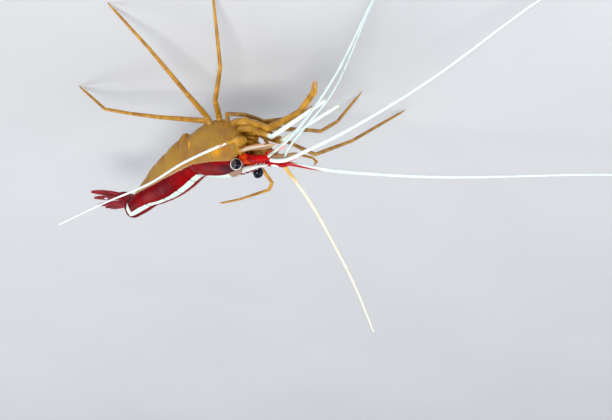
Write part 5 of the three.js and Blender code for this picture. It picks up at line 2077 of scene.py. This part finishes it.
@dataclass(frozen=True)
class Paddles:
    """Five pairs of swimming legs under the abdomen."""

    lengths: tuple[float, ...] = (3.6, 4.0, 3.8, 3.2, 2.4)

    def build(self, bench: Bench, joints: Rows) -> None:
        """Builds the paddles.

        Args:
            bench: What they are built with.
            joints: The abdomen's joints, which carry them.
        """
        hair = HairBeds()
        for number, length in enumerate(self.lengths, start=1):
            front, rear = np.array(joints[number - 1]), np.array(joints[number])
            depth = float(np.linalg.norm(front[2:4] - front[:2]))
            share = 0.72 + 1.65 / depth
            ahead = front[:2] + (front[2:4] - front[:2]) * share
            behind = rear[:2] + (rear[2:4] - rear[:2]) * share
            back = unit(behind - ahead)
            root = ahead + (behind - ahead) * 0.35
            half = 0.1 * (front[4] + rear[4])
            tip = root + back * 0.9 * length + np.array([0.25, -1.0]) * 0.32 * length
            y = half + 0.3
            leaf = Leaf((root[0], y, root[1]), (tip[0], y, tip[1]), half, 0.2, 0.7, 0.3)
            for side in Side:
                s = side.value
                rings, marks, _ = leaf.rings(side, 34, 24)
                draft = Draft()
                draft.loft(rings, **marks, tone=0.8 * ease(np.abs(marks["around"]), 0.7, 1.0))
                stem = smooth_line(
                    [(root[0] + 0.2, y * s, root[1] + 1.5), (root[0] + 0.1, y * s, root[1] + 0.3),
                    (root[0] - 0.15, y * s, root[1] - 0.1)], 0.12)
                draft.tube(stem, np.full(len(stem), half * 0.72), 14)
                dress(
                    draft.build(f"paddle_{side.label}_{number}", bench.stance, [bench.wardrobe.paddle]),
                    Slot.LIMB, f"swimmeret_{side.label}_{number}")
                hair.add(leaf.fringe(side, 0.4, 30, 0.6))
        hair.plant("paddle_hairs", bench, bench.wardrobe.pale_hair, Slot.LIMB, 0.018, 81)


# ----- studio


@dataclass(frozen=True)
class Studio:
    """Floor, lights and camera."""

    azimuth: float = math.radians(46)
    elevation: float = math.radians(22)
    distance: float = 350.0
    scale: float = 5.0
    aim: tuple[float, float] = (201.0, 172.5)
    size: tuple[int, int] = (612, 420)
    sensor: float = 36.0
    floor_reach: float = 3.0

    def axes(self) -> Trio:
        """The camera's right, up and back in the animal's axes, with the camera held upside down."""
        a, e = self.azimuth, self.elevation
        back = np.array([math.sin(a) * math.cos(e), math.cos(a) * math.cos(e), math.sin(e)])
        right = np.array([math.cos(a), -math.sin(a), 0.0])
        return right, np.cross(back, right), back

    def camera(self, stance: Stance) -> None:
        """Makes the scene's camera."""
        right, up, back = self.axes()
        across = (self.aim[0] - self.size[0] / 2) / self.scale
        above = -(self.aim[1] - self.size[1] / 2) / self.scale
        place = back * self.distance - right * across - up * above
        data = bpy.data.cameras.new("camera")
        data.sensor_width = self.sensor
        data.lens = self.scale * self.distance / self.size[0] * self.sensor
        data.clip_start, data.clip_end = 0.01, 10.0
        camera = bpy.data.objects.new("camera", data)
        turned = [stance.turned(v) for v in (right, up, back)]
        facing = Matrix(np.array(turned).T.tolist()).to_4x4()
        camera.matrix_world = Matrix.Translation(Vector(stance.placed(place))) @ facing
        bpy.context.scene.collection.objects.link(camera)
        bpy.context.scene.camera = camera

    def light(
            self, name: str, place: Point, target: Point, size: float, power: float, colour: Colour) -> None:
        """Adds a soft lamp.

        Args:
            name: The lamp's name.
            place: Where it hangs, in metres.
            target: What it points at, in metres.
            size: Its width, in metres.
            power: Its power in watts.
            colour: Its colour.
        """
        data = bpy.data.lights.new(name, "AREA")
        data.shape, data.size, data.energy, data.color = "DISK", size, power, colour
        lamp = bpy.data.objects.new(name, data)
        lamp.location = place
        lamp.rotation_euler = (Vector(target) - Vector(place)).to_track_quat("-Z", "Y").to_euler()
        bpy.context.scene.collection.objects.link(lamp)

    def build(self, stance: Stance) -> None:
        """Builds the floor, the lights and the camera."""
        self.camera(stance)
        mesh = bpy.data.meshes.new("floor")
        reach = self.floor_reach
        corners = [(x * reach, y * reach, 0) for x, y in ((-1, -1), (1, -1), (1, 1), (-1, 1))]
        mesh.from_pydata(corners, [], [(0, 1, 2, 3)])
        floor = bpy.data.objects.new("floor", mesh)
        p = Paint("floor_card")
        shade = p.mix(p.noise(40.0, 2.0), srgb(188, 190, 194), srgb(198, 200, 203))
        mesh.materials.append(p.surface(shade, 0.85, p.noise(1.5), 0.02))
        bpy.context.scene.collection.objects.link(floor)
        middle = (0.0, 0.01, 0.015)
        self.light("key", (0.25, 0.32, 0.45), middle, 0.25, 2.9, (1.0, 0.98, 0.95))
        self.light("fill", (0.35, -0.25, 0.3), middle, 0.4, 1.0, (0.95, 0.97, 1.0))
        self.light("rim", (-0.4, 0.1, 0.35), middle, 0.35, 1.2, (1.0, 1.0, 1.0))
        world = bpy.data.worlds.new("studio")
        world.use_nodes = True
        world.node_tree.nodes["Background"].inputs[0].default_value = (0.92, 0.95, 1.0, 1.0)
        world.node_tree.nodes["Background"].inputs[1].default_value = 0.45
        bpy.context.scene.world = world
        bpy.context.scene.view_settings.view_transform = "Standard"


# ----- the model


def main() -> None:
    """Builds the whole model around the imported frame."""
    logging.basicConfig(level=logging.INFO, format="%(name)s %(message)s")
    for thing in list(bpy.data.objects):
        bpy.data.objects.remove(thing)
    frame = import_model()
    log.info("frame of %d nodes", len(frame["nodes"]))
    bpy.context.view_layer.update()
    stance = Stance.read()
    bench = Bench(stance, Wardrobe(), WhipTool(), BristleTool())
    Studio().build(stance)
    abdomen = Abdomen()
    HeadShield().build(bench)
    abdomen.build(bench)
    TailFan().build(bench)
    Eyes().build(bench)
    HeadStalks().build(bench)
    Feelers().build(bench)
    MouthLimbs().build(bench)
    Paddles().build(bench, abdomen.joints)
    Legs().build(bench)


if __name__ == "__main__":
    main()
